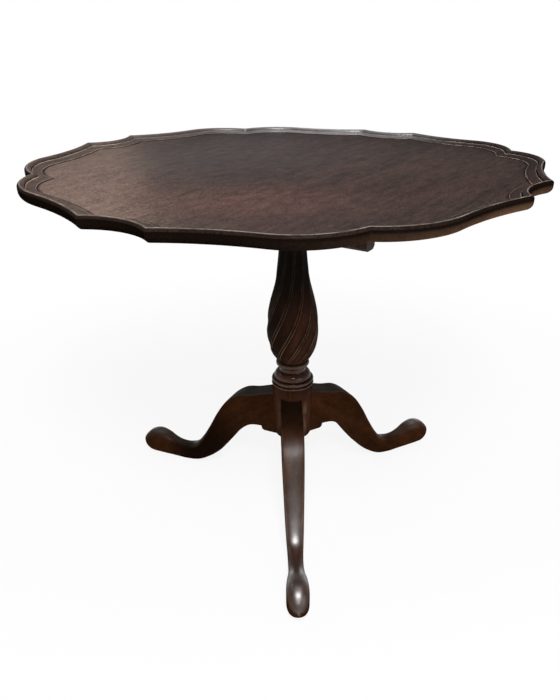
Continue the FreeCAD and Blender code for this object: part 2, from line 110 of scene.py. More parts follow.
def spline(rows: Sequence[Sequence[float]], steps: int) -> list[list[float]]:
    """Rows of numbers joined by smooth curves.

    Args:
        rows: Stations that the curves pass through.
        steps: Number of rows made from each station to the next.

    Returns:
        The finer rows, from the first station to the last.
    """
    fine: list[list[float]] = []
    last = len(rows) - 1
    for index in range(last):
        p0, p1, p2, p3 = (rows[min(max(index + k, 0), last)] for k in (-1, 0, 1, 2))
        for step in range(steps):
            t = step / steps
            fine.append([0.5 * (2 * b + (c - a) * t + (2 * a - 5 * b + 4 * c - d) * t * t
                                + (3 * b - a - 3 * c + d) * t ** 3)
                         for a, b, c, d in zip(p0, p1, p2, p3)])
    fine.append(list(rows[-1]))
    return fine


class Value:
    """A shader socket that takes part in plain arithmetic."""

    def __init__(self, recipe: "Recipe", socket: bpy.types.NodeSocket) -> None:
        """Keep the recipe that the socket belongs to."""
        self.recipe = recipe
        self.socket = socket

    def math(self, operation: str, first: Any, second: Any, clamp: bool = False) -> "Value":
        """Add a Math node for two values or numbers, kept from 0 to 1 if clamp is set."""
        settings = {"operation": operation, "use_clamp": clamp}
        return self.recipe.add("ShaderNodeMath", settings, {0: first, 1: second})

    def __add__(self, other: Number) -> "Value":
        """Sum of two values."""
        return self.math("ADD", self, other)

    def __sub__(self, other: Number) -> "Value":
        """Difference of two values."""
        return self.math("SUBTRACT", self, other)

    def __rsub__(self, other: float) -> "Value":
        """Difference of a number and this value."""
        return self.math("SUBTRACT", other, self)

    def __mul__(self, other: Number) -> "Value":
        """Product of two values."""
        return self.math("MULTIPLY", self, other)

    def held(self) -> "Value":
        """This value kept from 0 to 1."""
        return self.math("ADD", self, 0.0, clamp=True)

    def between(self, low: float, high: float) -> "Value":
        """Smooth rise from 0 at low to 1 at high."""
        inputs = {"Value": self, "From Min": low, "From Max": high}
        return self.recipe.add("ShaderNodeMapRange", {"interpolation_type": "SMOOTHSTEP"}, inputs)


class Recipe:
    """A node tree that is written as expressions."""

    def __init__(self, tree: bpy.types.NodeTree) -> None:
        """Empty the tree and keep it."""
        self.tree = tree
        tree.nodes.clear()

    @classmethod
    def material(cls, name: str) -> tuple[bpy.types.Material, "Recipe"]:
        """Start a new material.

        Args:
            name: The material's name.

        Returns:
            The material and the recipe for its tree.
        """
        made = bpy.data.materials.new(name)
        made.use_nodes = True
        return made, cls(made.node_tree)

    def add(self, kind: str, settings: dict[str, Any] | None = None,
            inputs: dict[str | int, Any] | None = None, output: str | int = 0) -> Value:
        """Add one node.

        Args:
            kind: The node's type.
            settings: Its properties.
            inputs: Values or constants of its sockets, by name or number.
            output: Name or number of the output that is returned.

        Returns:
            The chosen output.
        """
        node = self.tree.nodes.new(kind)
        for key, value in (settings or {}).items():
            setattr(node, key, value)
        for key, value in (inputs or {}).items():
            if isinstance(value, Value):
                self.tree.links.new(value.socket, node.inputs[key])
            else:
                node.inputs[key].default_value = value
        return Value(self, node.outputs[output])

    def end(self, kind: str, shader: Value) -> None:
        """Add the tree's output node and link the shader to it."""
        node = self.tree.nodes.new(kind)
        self.tree.links.new(shader.socket, node.inputs["Surface"])

    def mix(self, share: Number, first: Any, second: Any, blend: str = "MIX") -> Value:
        """Mix two colours.

        Args:
            share: Share of the second colour.
            first: Colour or value.
            second: Colour or value.
            blend: The mix's blend type.

        Returns:
            The mixed colour.
        """
        colours = [tint if isinstance(tint, Value) else (*tint, 1.0) for tint in (first, second)]
        settings = {"data_type": "RGBA", "blend_type": blend}
        return self.add("ShaderNodeMix", settings, {0: share, 6: colours[0], 7: colours[1]}, 2)

    def mark(self, name: str) -> Value:
        """A number that the piece's own mesh carries."""
        return self.add("ShaderNodeAttribute", {"attribute_name": name}, None, "Fac")

    def patchy(self, name: str, pattern: Value, gain: float, base: float) -> Value:
        """A mark that a pattern makes uneven, kept from 0 to 1."""
        return (self.mark(name) * (pattern * gain + base)).held()

    def place(self) -> Value:
        """Coordinates in metres in the piece's own frame."""
        return self.add("ShaderNodeTexCoord", None, None, "Object")

    def stretched(self, vector: Value, scale: Triple, turn: float = 0.0) -> Value:
        """Coordinates turned about Z by degrees and scaled on each axis."""
        inputs = {"Vector": vector, "Rotation": (0, 0, math.radians(turn)), "Scale": scale}
        return self.add("ShaderNodeMapping", {"vector_type": "POINT"}, inputs)

    def noise(self, vector: Value, scale: float, detail: float, rough: float,
              bend: float = 0.0) -> Value:
        """Soft noise from about 0.3 to 0.7, with finer layers, their strength and a stir."""
        return self.add("ShaderNodeTexNoise", None, {"Vector": vector, "Scale": scale,
                        "Detail": detail, "Roughness": rough, "Distortion": bend})


@dataclass(frozen=True)
class Pattern:
    """Noise drawn out along the grain, with its features per metre on each axis."""

    scale: Triple
    detail: float
    rough: float
    bend: float = 0.0
    turn: float = 0.0

    def on(self, recipe: Recipe, place: Value) -> Value:
        """The pattern's value at coordinates in metres."""
        drawn = recipe.stretched(place, self.scale, self.turn)
        return recipe.noise(drawn, 1, self.detail, self.rough, self.bend)


STREAKS = Pattern((12, 150, 150), 5, 0.65, 0.4)
FIGURE = Pattern((3.0, 13, 13), 4, 0.6, 0.8)
MOTTLE = Pattern((35, 62, 62), 4, 0.6, 0.3)
FLECKS = Pattern((190, 420, 420), 3, 0.6, 0.3)
PORES = Pattern((60, 1200, 1200), 1, 0.5)
SCRATCHES = Pattern((60, 1500, 900), 2, 0.5, turn=20)


class GrainFrom(Enum):
    """Where a wood's grain gets its direction."""

    PIECE = "grain"
    OBJECT = "object"


@dataclass(frozen=True)
class WoodFinish:
    """Old mahogany with streaks, mottling, pores, abraded edges and painted highlights, soiling and
    painted shade, painted light and polish.
    """

    name: str
    deep: Colour
    body: Colour
    warm: Colour
    # Colour of abraded edges and of painted highlight lines.
    worn: Colour = (0.30, 0.24, 0.19)
    # Colour of pores, stains, soiling and painted shade.
    grime: Colour = (0.0042, 0.0026, 0.0016)
    # Colour of the dust mark; the tray's own is a tan that stands for painted light.
    dust: Colour = (0.040, 0.040, 0.033)
    # Colour of the painted light on the left of the tray top.
    faded: Colour = (0.20, 0.132, 0.102)
    blush: Colour = (0.105, 0.044, 0.033)
    grain_from: GrainFrom = GrainFrom.PIECE
    grain_turn: float = 0.0
    roughness: float = 0.5
    uneven: float = 0.2
    gloss: float = 0.0
    coat: float = 0.0
    coat_roughness: float = 0.35
    bump: float = 0.12
    bump_depth: float = 0.0006
    fleck: float = 1.2
    blotch: float = 0.8
    streak: float = 0.20
    warm_span: Span = (0.45, 0.72)
    warm_share: float = 0.8
    pore_span: Span = (0.58, 0.70)
    pore_share: float = 0.4
    stain_scale: float = 22
    stain_span: Span = (0.5, 0.75)
    stain_share: float = 0.5
    patch_scale: float = 34
    patch_span: Span = (0.34, 0.60)
    blush_patches: Span = (1.6, 0.2)
    fade_patches: Span = (2.2, -0.12)
    dust_patches: Span = (0.3, 0.75)
    wear_patches: Span = (0.8, 0.2)
    coat_patches: Span = (0.8, 0.6)
    relief: Triple = (0.5, 0.3, 0.8)
    pore_rough: float = 0.1

    def material(self) -> bpy.types.Material:
        """Make the material.

        Returns:
            The finished material.
        """
        made, recipe = Recipe.material(self.name)
        place = self.grain_place(recipe)
        streaks, figure, mottle, flecks, holes = (
            pattern.on(recipe, place) for pattern in (STREAKS, FIGURE, MOTTLE, FLECKS, PORES))
        pores = holes.between(*self.pore_span)
        light = streaks.between(NOISE_MIDDLE - self.streak, NOISE_MIDDLE + self.streak)
        colour = recipe.mix(light, self.deep, self.body)
        colour = recipe.mix(figure.between(*self.warm_span) * self.warm_share, colour, self.warm)
        if self.grain_from is GrainFrom.PIECE:
            colour = self.weathered(recipe, colour, streaks, mottle)
        shade = ((mottle - NOISE_MIDDLE) * self.blotch
                 + (flecks - NOISE_MIDDLE) * self.fleck + 1.0)
        grey = recipe.add("ShaderNodeCombineColor", None,
                          dict.fromkeys(("Red", "Green", "Blue"), shade))
        colour = recipe.mix(1.0, colour, grey, "MULTIPLY")
        colour = recipe.mix(pores * self.pore_share, colour, self.grime)
        ridge, fleck, pit = self.relief
        bump = recipe.add("ShaderNodeBump", None, {
            "Strength": self.bump, "Distance": self.bump_depth,
            "Height": streaks * ridge + flecks * fleck - pores * pit})
        rough = ((figure + mottle) * self.uneven + pores * self.pore_rough
                 + (self.roughness - self.uneven))
        inputs = {"Base Color": self.aged(recipe, colour, place), "Normal": bump,
                  "Roughness": rough, "Specular IOR Level": self.gloss}
        if self.coat:
            gain, base = self.coat_patches
            inputs["Coat Weight"] = recipe.mark("polish") * (mottle * gain + base) * self.coat
            inputs["Coat Roughness"] = self.coat_roughness
        recipe.end("ShaderNodeOutputMaterial", recipe.add("ShaderNodeBsdfPrincipled", None, inputs))
        return made

    def grain_place(self, recipe: Recipe) -> Value:
        """Coordinates that follow the grain.

        Args:
            recipe: The material's tree.

        Returns:
            Coordinates in metres whose X runs along the grain.
        """
        if self.grain_from is GrainFrom.PIECE:
            settings = {"attribute_name": self.grain_from.value}
            return recipe.add("ShaderNodeAttribute", settings, None, "Vector")
        return recipe.stretched(recipe.place(), (1, 1, 1), -self.grain_turn)

    def weathered(self, recipe: Recipe, colour: Value, streaks: Value, mottle: Value) -> Value:
        """Paint light over the left of the board and redden where the old polish is thickest.

        Args:
            recipe: The material's tree.
            colour: Colour so far.
            streaks: The fine grain.
            mottle: Soft blotches.

        Returns:
            The new colour.
        """
        redder = recipe.patchy("blush", mottle, *self.blush_patches)
        bleach = recipe.patchy("fade", streaks, *self.fade_patches)
        return recipe.mix(bleach, recipe.mix(redder, colour, self.blush), self.faded)

    def aged(self, recipe: Recipe, colour: Value, place: Value) -> Value:
        """Lay the dust mark, darken with soiling and painted shade, and lighten abraded edges and
        painted highlights.

        Args:
            recipe: The material's tree.
            colour: Colour so far.
            place: Coordinates in metres.

        Returns:
            The new colour.
        """
        if self.grain_from is GrainFrom.OBJECT:
            stain = recipe.noise(place, self.stain_scale, 3, 0.6).between(*self.stain_span)
            return recipe.mix(stain * self.stain_share, colour, self.grime)
        patch = recipe.noise(place, self.patch_scale, 3, 0.65).between(*self.patch_span)
        # Dust on the legs, painted sheen on their feet and painted light on the tray's lower edge.
        dusty = recipe.patchy("dust", patch, *self.dust_patches)
        colour = recipe.mix(dusty, colour, self.dust)
        # Darker where the mesh marks soiling and painted shade.
        colour = recipe.mix(recipe.mark("grime"), colour, self.grime)
        # Lighter where the mesh marks abraded edges and painted highlight lines.
        return recipe.mix(recipe.patchy("wear", patch, *self.wear_patches), colour, self.worn)


@dataclass(frozen=True)
class MetalFinish:
    """Old metal with a patchy film over a brighter ground."""

    name: str
    ground: Colour
    film: Colour
    roughness: float
    film_scale: float = 160
    film_span: Span = (0.38, 0.66)
    film_rough: float = 0.2
    film_height: float = 0.6
    film_cover: float = 0.45
    scratch_rough: float = 0.15
    smoother: float = 0.1
    bump: float = 0.15
    bump_depth: float = 0.0003

    def material(self) -> bpy.types.Material:
        """Make the material.

        Returns:
            The finished material.
        """
        made, recipe = Recipe.material(self.name)
        place = recipe.place()
        patches = recipe.noise(place, self.film_scale, 4, 0.6).between(*self.film_span)
        scratches = SCRATCHES.on(recipe, place)
        bump = recipe.add("ShaderNodeBump", None, {
            "Strength": self.bump, "Distance": self.bump_depth,
            "Height": scratches + patches * self.film_height})
        shader = recipe.add("ShaderNodeBsdfPrincipled", None, {
            "Base Color": recipe.mix(patches, self.ground, self.film),
            "Metallic": 1.0 - patches * self.film_cover, "Normal": bump,
            "Roughness": (patches * self.film_rough + scratches * self.scratch_rough
                          + (self.roughness - self.smoother))})
        recipe.end("ShaderNodeOutputMaterial", shader)
        return made


# The tray's dust colour is the tan of the painted light on its lower edge.
TRAY_WOOD = WoodFinish(
    "tray_mahogany", (0.023, 0.0145, 0.0125), (0.047, 0.0276, 0.0236), (0.060, 0.0322, 0.0266),
    worn=(0.42, 0.36, 0.30), dust=(0.31, 0.165, 0.090), faded=(0.174, 0.115, 0.090),
    blush=(0.085, 0.041, 0.033), coat=0.60, coat_roughness=0.42, bump=0.10, fleck=3.4,
    blotch=0.65, streak=0.17)
PILLAR_WOOD = WoodFinish(
    "pillar_mahogany", (0.031, 0.0120, 0.0066), (0.050, 0.0188, 0.0098), (0.082, 0.0285, 0.0140),
    worn=(0.22, 0.125, 0.07), coat=0.9, coat_roughness=0.08, fleck=0.9, streak=0.28)
LEG_WOOD = WoodFinish(
    "leg_mahogany", (0.026, 0.0095, 0.0040), (0.040, 0.0145, 0.0060), (0.062, 0.0225, 0.0085),
    worn=(0.17, 0.11, 0.075), coat=1.6, coat_roughness=0.37, fleck=0.7, blotch=1.0, streak=0.32)
FRAME_WOOD = WoodFinish(
    "bearer_mahogany", (0.022, 0.012, 0.008), (0.045, 0.025, 0.016), (0.068, 0.038, 0.024),
    grain_from=GrainFrom.OBJECT, grain_turn=CATCH_DIRECTION, roughness=0.62, gloss=0.12, bump=0.3)
BLOCK_WOOD = replace(
    FRAME_WOOD, name="block_mahogany", deep=(0.026, 0.015, 0.009), body=(0.052, 0.030, 0.018),
    warm=(0.080, 0.045, 0.028), grain_turn=CATCH_DIRECTION + 90)
PLATE_IRON = MetalFinish("black_iron", (0.10, 0.095, 0.09), (0.045, 0.032, 0.024), 0.55)
PIN_IRON = MetalFinish("bright_iron", (0.22, 0.21, 0.20), (0.07, 0.055, 0.045), 0.40)
SCREW_STEEL = MetalFinish("old_steel", (0.25, 0.23, 0.21), (0.09, 0.065, 0.048), 0.42)
CATCH_BRASS = MetalFinish("old_brass", (0.50, 0.36, 0.15), (0.20, 0.135, 0.060), 0.34)


class Mark(Enum):
    """What a mesh says about its own surface."""

    # Abraded edges and painted highlight lines.
    WEAR = "wear"
    # Soiling and painted shade.
    GRIME = "grime"
    POLISH = "polish"
    # Painted light on the left of the tray top.
    FADE = "fade"
    BLUSH = "blush"
    # Dust, painted sheen on the legs' feet and painted light on the tray's lower edge.
    DUST = "dust"


@dataclass
class Ring:
    """One closed row of points, with its marks."""

    points: list[Vector]
    grain: list[Vector]
    marks: dict[Mark, Sequence[float] | float]

    def lay(self, data: bpy.types.Mesh) -> None:
        """Move the selected points of a mesh to this ring and mark them.

        Args:
            data: The mesh that is being edited.
        """
        mesh = bmesh.from_edit_mesh(data)
        layers = mesh.verts.layers
        place = layers.int["place"]
        grain = layers.float_vector[GrainFrom.PIECE.value]
        for vert in (v for v in mesh.verts if v.select):
            index = vert[place]
            vert.co = self.points[index]
            vert[grain] = self.grain[index]
            for mark in Mark:
                amount = self.marks.get(mark, 0.0)
                even = isinstance(amount, (int, float))
                vert[layers.float[mark.value]] = amount if even else amount[index]
        bmesh.update_edit_mesh(data)


def lofted(name: str, rings: Sequence[Ring], sharp: float) -> bpy.types.Object:
    """Draw a piece: a circle is laid on its first ring and extruded to each of the others.

    Args:
        name: The piece's name.
        rings: Its rings from end to end.
        sharp: Angle in degrees above which an edge stays crisp.

    Returns:
        The finished piece, closed at both ends.
    """
    bpy.ops.object.select_all(action="DESELECT")
    bpy.ops.mesh.primitive_circle_add(vertices=len(rings[0].points), radius=1.0)
    piece = bpy.context.object
    piece.name = piece.data.name = name
    bpy.ops.object.mode_set(mode="EDIT")
    bpy.ops.mesh.select_mode(type="EDGE")
    mesh = bmesh.from_edit_mesh(piece.data)
    mesh.verts.layers.int.new("place")
    for mark in Mark:
        mesh.verts.layers.float.new(mark.value)
    mesh.verts.layers.float_vector.new(GrainFrom.PIECE.value)
    place = mesh.verts.layers.int["place"]
    for index, vert in enumerate(mesh.verts):
        vert[place] = index
    bpy.ops.mesh.select_all(action="SELECT")
    rings[0].lay(piece.data)
    for ring in rings[1:]:
        bpy.ops.mesh.extrude_edges_indiv()
        ring.lay(piece.data)
    bpy.ops.mesh.select_all(action="SELECT")
    bpy.ops.mesh.fill_holes(sides=0)
    bpy.ops.mesh.select_all(action="SELECT")
    bpy.ops.mesh.normals_make_consistent(inside=False)
    bpy.ops.object.mode_set(mode="OBJECT")
    bpy.ops.object.shade_smooth_by_angle(angle=math.radians(sharp))
    return piece


def settle(piece: bpy.types.Object, finish: WoodFinish, body: str, node: str) -> None:
    """Give a piece its finish, its body and the node that it stands for.

    Args:
        piece: The new piece.
        finish: Its finish.
        body: Body that it rides on.
        node: CAD node that it replaces.
    """
    material = bpy.data.materials.get(finish.name) or finish.material()
    piece.data.materials.clear()
    piece.data.materials.append(material)
    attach(piece, body)
    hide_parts(node)
    log.info("%s: %d faces on %s", piece.name, len(piece.data.polygons), body)


@dataclass
class TrayTop:
    """Dished board with a scalloped, moulded rim, cupped across its grain."""

    level: float = 0.706
    thickness: float = 0.022
    notch_direction: float = 11.8
    notch_radius: float = 0.4426
    cusp_radius: float = 0.4497
    bay_radius: float = 0.4277
    cusp_angle: float = 37.2
    notch_lead: float = 27.7
    cusp_lead: float = 20.3
    lobe_steps: int = 22
    bay_steps: int = 16
    under_round: float = 0.012
    under_scales: tuple[float, ...] = (0.01, 0.2, 0.4, 0.6, 0.8, 0.95)
    under_steps: int = 7
    # Painted light on the round under edge: most at the bottom, less towards the side.
    under_dust: Span = (0.94, 0.324)
    bead_width: float = 0.011
    bead_rise: float = 0.004
    # Soiling and painted shade over the bead: dark on its outer half like the side, lighter over
    # the crest, darker into the quirk.
    bead_soot: tuple[float, ...] = (
        0.95, 0.95, 0.94, 0.92, 0.70, 0.2, 0.2, 0.3, 0.35, 0.35, 0.4, 0.5, 0.7)
    # Crest line of the bead, abraded and painted as a highlight.
    bead_worn_step: int = 5
    side_below_bead: Span = (0.003, 0.001)
    quirk: float = 0.0014
    quirk_depth: float = 0.0010
    quirk_slopes: Span = (0.0002, 0.0003)
    cove_end: float = 0.0285
    cove_top: float = 0.0050
    cove_low: float = 0.0080
    cove_steps: int = 9
    cove_lip: float = 0.0009
    field_depth: float = 0.009
    field_edge: tuple[float, ...] = (0.0001, 0.0003, 0.0010, 0.0024)
    crisp: float = 0.0001
    field_scale: float = 0.99
    field_shrink: float = 0.0333
    field_rows: int = 30
    warp_mean: float = 0.0053
    warp_waves: tuple[Span, ...] = (
        (-0.00033, 0.00179), (0.00233, -0.00365), (-0.00129, 0.00121))
    warp_reach: float = 0.44
    # Painted light: the left of the board is lighter, up to a soft straight edge.
    fade_from: Vector = field(default_factory=lambda: Vector((-0.343, 0.407, 0)))
    fade_to: Vector = field(default_factory=lambda: Vector((-0.190, -0.373, 0)))
    fade_span: Span = (-0.040, 0.070)
    fade_tail_span: Span = (-0.150, 0.010)
    fade_tail: float = 0.18
    blush_centre: Span = (-0.07, -0.23)
    blush_size: Span = (0.16, 0.095)
    shine_back: Span = (-0.22, 0.18)
    shine_right: Span = (-0.20, 0.32)
    shine_least: float = 0.75
    shine_gain: float = 0.65
    shine_loss: float = 0.52
    # Painted light on the lower edge, most towards the right.
    bare_from: Span = (-104, -50)
    bare_to: Span = (15, 50)
    bare_less: Span = (-40, -8)
    bare_loss: float = 0.45
    clean_share: float = 0.32
    clean_front: Span = (-88, 30)
    clean_back: Span = (0.10, 0.34)
    back_span: Span = (0.20, 0.36)
    right_span: Span = (-0.24, 0.16)
    back_polish: Span = (1.5, 6)
    # Fewer abraded and painted highlight lines at the back; more painted glints on the left.
    back_unworn: float = 0.6
    left_worn: float = 0.2
    sharp: float = 50.0

    def arcs(self) -> tuple[Vector, Vector, Vector, Vector]:
        """Centres of the lobe, the hollow and the bay, and the point between lobe and hollow.

        Returns:
            The three centres and the join, in the rim's own frame.
        """
        notch = polar(self.notch_radius, 0)
        cusp = polar(self.cusp_radius, self.cusp_angle)
        leave = polar(1, 90 - self.notch_lead)
        arrive = polar(1, self.cusp_angle + 90 - self.cusp_lead)
        chord = cusp - notch
        square = 2 * (1 - leave.dot(arrive))
        slope = 2 * chord.dot(leave + arrive)
        reach = (math.sqrt(slope ** 2 + 4 * square * chord.dot(chord)) - slope) / (2 * square)
        join = (notch + cusp + (leave - arrive) * reach) / 2
        middle = polar(1, 45)
        depth = cusp - middle * self.bay_radius
        bay = middle * (self.bay_radius + depth.dot(depth) / (2 * depth.dot(middle)))
        return self.centre(notch, leave, join), self.centre(cusp, -arrive, join), bay, join

    @staticmethod
    def centre(start: Vector, tangent: Vector, end: Vector) -> Vector:
        """Centre of the arc that leaves start along tangent and reaches end."""
        left, chord = Vector((-tangent.y, tangent.x, 0)), end - start
        return start + left * (chord.dot(chord) / (2 * chord.dot(left)))

    @staticmethod
    def sweep(centre: Vector, start: Vector, end: Vector, count: int) -> list[Vector]:
        """Points along an arc.

        Args:
            centre: The arc's centre.
            start: First point.
            end: Last point, which is left out.
            count: Number of points.

        Returns:
            The points from start to just before end.
        """
        first, last = start - centre, end - centre
        turn = math.atan2(first.x * last.y - first.y * last.x, first.dot(last))
        return [centre + Matrix.Rotation(turn * step / count, 3, "Z") @ first
                for step in range(count)]

    def quarter(self, inset: float) -> list[Vector]:
        """A quarter of the rim's outline, moved inwards.

        Args:
            inset: Distance inwards from the outer edge.

        Returns:
            Points from one notch to just before the next.
        """
        lobe, hollow, bay, join = self.arcs()
        cusp = polar(self.cusp_radius, self.cusp_angle)
        lobe_radius = (join - lobe).length
        hollow_radius = (cusp - hollow).length + inset
        bay_radius = (cusp - bay).length + inset
        notch_in = Vector((lobe.x + math.sqrt((lobe_radius - inset) ** 2 - lobe.y ** 2), 0, 0))
        join_in = lobe + (join - lobe) * ((lobe_radius - inset) / lobe_radius)
        between = bay - hollow
        along = (hollow_radius ** 2 - bay_radius ** 2 + between.length ** 2) / (2 * between.length)
        across = math.sqrt(hollow_radius ** 2 - along ** 2)
        unit = between.normalized()
        side = Vector((-unit.y, unit.x, 0)) * across
        crossings = (hollow + unit * along + side, hollow + unit * along - side)
        cusp_in = min(crossings, key=lambda point: (point - cusp).length)
        middle = polar(self.bay_radius - inset, 45)
        half = self.sweep(lobe, notch_in, join_in, self.lobe_steps)
        half += self.sweep(hollow, join_in, cusp_in, self.bay_steps)
        half += self.sweep(bay, cusp_in, middle, self.bay_steps)
        mirrored = [Vector((point.y, point.x, 0)) for point in reversed(half[1:])]
        return half + [middle] + mirrored

    def outline(self, inset: float) -> list[Vector]:
        """The whole rim, moved inwards.

        Args:
            inset: Distance inwards from the outer edge.

        Returns:
            The points in the table's frame.
        """
        points: list[Vector] = []
        for quarter in range(4):
            turn = Matrix.Rotation(math.radians(self.notch_direction + 90 * quarter), 3, "Z")
            points += [turn @ point for point in self.quarter(inset)]
        return points

    def cupped(self, point: Vector) -> Vector:
        """Lift a point as the old board has cupped and twisted.

        Args:
            point: A point of the flat board.

        Returns:
            The lifted point.
        """
        turn = math.atan2(point.y, point.x)
        rise = self.warp_mean + sum(level * math.cos(k * turn) + tilt * math.sin(k * turn)
                                    for k, (level, tilt) in enumerate(self.warp_waves, 1))
        reach = math.hypot(point.x, point.y) / self.warp_reach
        return point + Vector((0, 0, rise * reach ** 3))

    def fade_at(self, point: Vector) -> float:
        """Share of painted light on the left of the board, with a faint tail past the edge.

        Args:
            point: A point of the board.

        Returns:
            Share from 0 to 1.
        """
        along = (self.fade_to - self.fade_from).normalized()
        aside = Vector((along.y, -along.x, 0)).dot(point - self.fade_from)
        return ((1 - self.fade_tail) * smooth_step(aside, *self.fade_span)
                + self.fade_tail * smooth_step(aside, *self.fade_tail_span))

    def blush_at(self, point: Vector) -> float:
        """Share of redder wood at a point of the field."""
        (x, y), (width, depth) = self.blush_centre, self.blush_size
        return bell(point.x, x, width) * bell(point.y, y, depth)

    def shine_at(self, point: Vector) -> float:
        """Polish, which is best at the back and thinnest at the front on the right.

        Args:
            point: A point of the board.

        Returns:
            Amount of polish.
        """
        back = smooth_step(point.y, *self.shine_back)
        loss = self.shine_loss * smooth_step(point.x, *self.shine_right)
        return (self.shine_least + self.shine_gain * back) * (1 - loss)

    def bare_at(self, point: Vector) -> float:
        """Share of painted light on the lower edge, most on the right.

        Args:
            point: A point of the edge.

        Returns:
            Share from 0 to 1.
        """
        turn = math.degrees(math.atan2(point.y, point.x))
        less = self.bare_loss * smooth_step(turn, *self.bare_less)
        return hump(turn, self.bare_from, self.bare_to) * (1 - less)

    def cleaned_at(self, point: Vector) -> float:
        """Share of soiling and painted shade taken off the bead: some at the front, all at the
        back.
        """
        front = bell(math.degrees(math.atan2(point.y, point.x)), *self.clean_front)
        return self.clean_share * front + smooth_step(point.y, *self.clean_back)

    def ring(self, inset: float, drop: float, scale: float = 1.0, cleaned: float = 0.0,
             shaded: float = 0.0, **marks: float) -> Ring:
        """One row of the board's section.

        Args:
            inset: Distance inwards from the outer edge.
            drop: Depth below the rim's top.
            scale: Size of the row, for rows inside the field.
            cleaned: How far the marks follow the cleaned places.
            shaded: Least painted shade on the left.
            marks: Amounts of abrasion and painted highlight, soiling and painted shade, polish and
                so on.

        Returns:
            The ring.
        """
        height = Vector((0, 0, self.level - drop))
        flat = [point * scale + height for point in self.outline(inset)]
        grain = [Vector((p.dot(ACROSS_CATCH), p.dot(ALONG_CATCH), p.z)) for p in flat]
        amounts: dict[Mark, list[float]] = {}
        for mark, amount_at in ((Mark.FADE, self.fade_at), (Mark.BLUSH, self.blush_at),
                                (Mark.POLISH, self.shine_at), (Mark.DUST, self.bare_at)):
            share = marks.get(mark.value, 0.0)
            amounts[mark] = [amount_at(point) * share for point in flat]
        back = [cleaned * smooth_step(point.y, *self.back_span) for point in flat]
        right = [smooth_step(point.x, *self.right_span) for point in flat]
        even, righter = self.back_polish
        amounts[Mark.POLISH] = [
            amount * (1 + share * (even + righter * aside))
            for amount, share, aside in zip(amounts[Mark.POLISH], back, right)]
        wear, grime = marks.get("wear", 0.0), marks.get("grime", 0.0)
        # Abraded and painted highlight lines: fewer at the back, more glints on the left.
        amounts[Mark.WEAR] = [
            wear * (1 - self.back_unworn * share) * (1 + self.left_worn * (1 - aside))
            for share, aside in zip(back, right)]
        # Soiling and painted shade: less under the lower edge's painted light and on the cleaned
        # bead; painted shade on the left where shaded is set.
        amounts[Mark.GRIME] = [
            max(grime * (1 - bare) * max(0.0, 1 - cleaned * self.cleaned_at(point)),
                shaded * (1 - aside))
            for point, bare, aside in zip(flat, amounts[Mark.DUST], right)]
        return Ring([self.cupped(point) for point in flat], grain, amounts)

    def side_rings(self) -> list[Ring]:
        """Underside, round under edge and upright side.

        Returns:
            The rings from the middle of the underside to the top of the side.
        """
        # The underside and round edge are darkened with soiling and painted shade; the side is
        # darkest under the bead, in painted shade, with painted light near its foot.
        rings = [self.ring(self.under_round, self.thickness, scale, grime=0.3)
                 for scale in self.under_scales]
        first, last = self.under_dust
        for step in range(self.under_steps + 1):
            share = step / self.under_steps
            turn = math.radians(90 * share)
            rings.append(self.ring(self.under_round * (1 - math.sin(turn)),
                                   self.thickness - self.under_round * (1 - math.cos(turn)),
                                   grime=0.95, dust=first + (last - first) * share))
        lower, upper = self.side_below_bead
        return rings + [self.ring(0, self.bead_rise + lower, grime=0.97, dust=0.06),
                        self.ring(0, self.bead_rise + upper, grime=0.97)]

    def moulding_rings(self) -> list[Ring]:
        """Bead, quirk, cove and the step to the field.

        Returns:
            The rings from the outer edge to the field.
        """
        half, rings = self.bead_width / 2, []
        for step, soot in enumerate(self.bead_soot):
            turn = math.pi * step / (len(self.bead_soot) - 1)
            rings.append(self.ring(half * (1 - math.cos(turn)),
                                   self.bead_rise * (1 - math.sin(turn)), cleaned=1.0,
                                   wear=0.55 if step == self.bead_worn_step else 0.0,
                                   grime=soot, polish=0.1 if step < 4 else 1.0, fade=0.6))
        top, low, end = self.cove_top, self.cove_low, self.cove_end
        start = self.bead_width + self.quirk
        bottom = top + self.quirk_depth
        outer, inner = self.quirk_slopes
        # The quirk is a dark line of soiling and painted shade; its inner edge and the cove's first
        # step are bright lines of abrasion and painted highlight, and the lower cove is darkened
        # with soiling and painted shade.
        rings += [self.ring(self.bead_width + outer, bottom, grime=1.0),
                  self.ring(start - inner, bottom, grime=1.0),
                  self.ring(start, top, cleaned=1.0, wear=1.0, polish=0.5)]
        for step in range(1, self.cove_steps):
            turn = math.radians(90 * step / self.cove_steps)
            rings.append(self.ring(start + (end - start) * (1 - math.cos(turn)),
                                   top + (low - top) * math.sin(turn), cleaned=1.0,
                                   wear=0.6 if step == 1 else 0.0, grime=0.35 if step > 2 else 0.0,
                                   polish=0.9, fade=0.6))
        brink, foot, line, margin = (end + reach for reach in self.field_edge)
        deep = self.field_depth
        # The step to the field: bright lines of abrasion and painted highlight at the cove's end
        # and brink, a dark line of soiling and painted shadow at its foot, and painted shade on the
        # left.
        return rings + [
            self.ring(end - self.cove_lip, low, cleaned=1.0, grime=0.3, polish=0.9, fade=0.6),
            self.ring(end, low, cleaned=1.0, wear=0.7, polish=0.9, fade=0.6),
            self.ring(brink, low + self.crisp, cleaned=1.0, wear=0.8, polish=0.5),
            self.ring(foot, deep - self.crisp, grime=1.0),
            self.ring(line, deep, shaded=1.0, grime=0.9, polish=0.2),
            self.ring(margin, deep, shaded=0.8, grime=0.2, polish=0.6, fade=0.8)]

    def field_rings(self) -> list[Ring]:
        """Flat field.

        Returns:
            The rings from the rim to the middle.
        """
        inset = self.cove_end + self.field_edge[-1]
        return [self.ring(inset, self.field_depth, self.field_scale - self.field_shrink * step,
                          polish=1.0, fade=1.0, blush=1.0) for step in range(self.field_rows)]

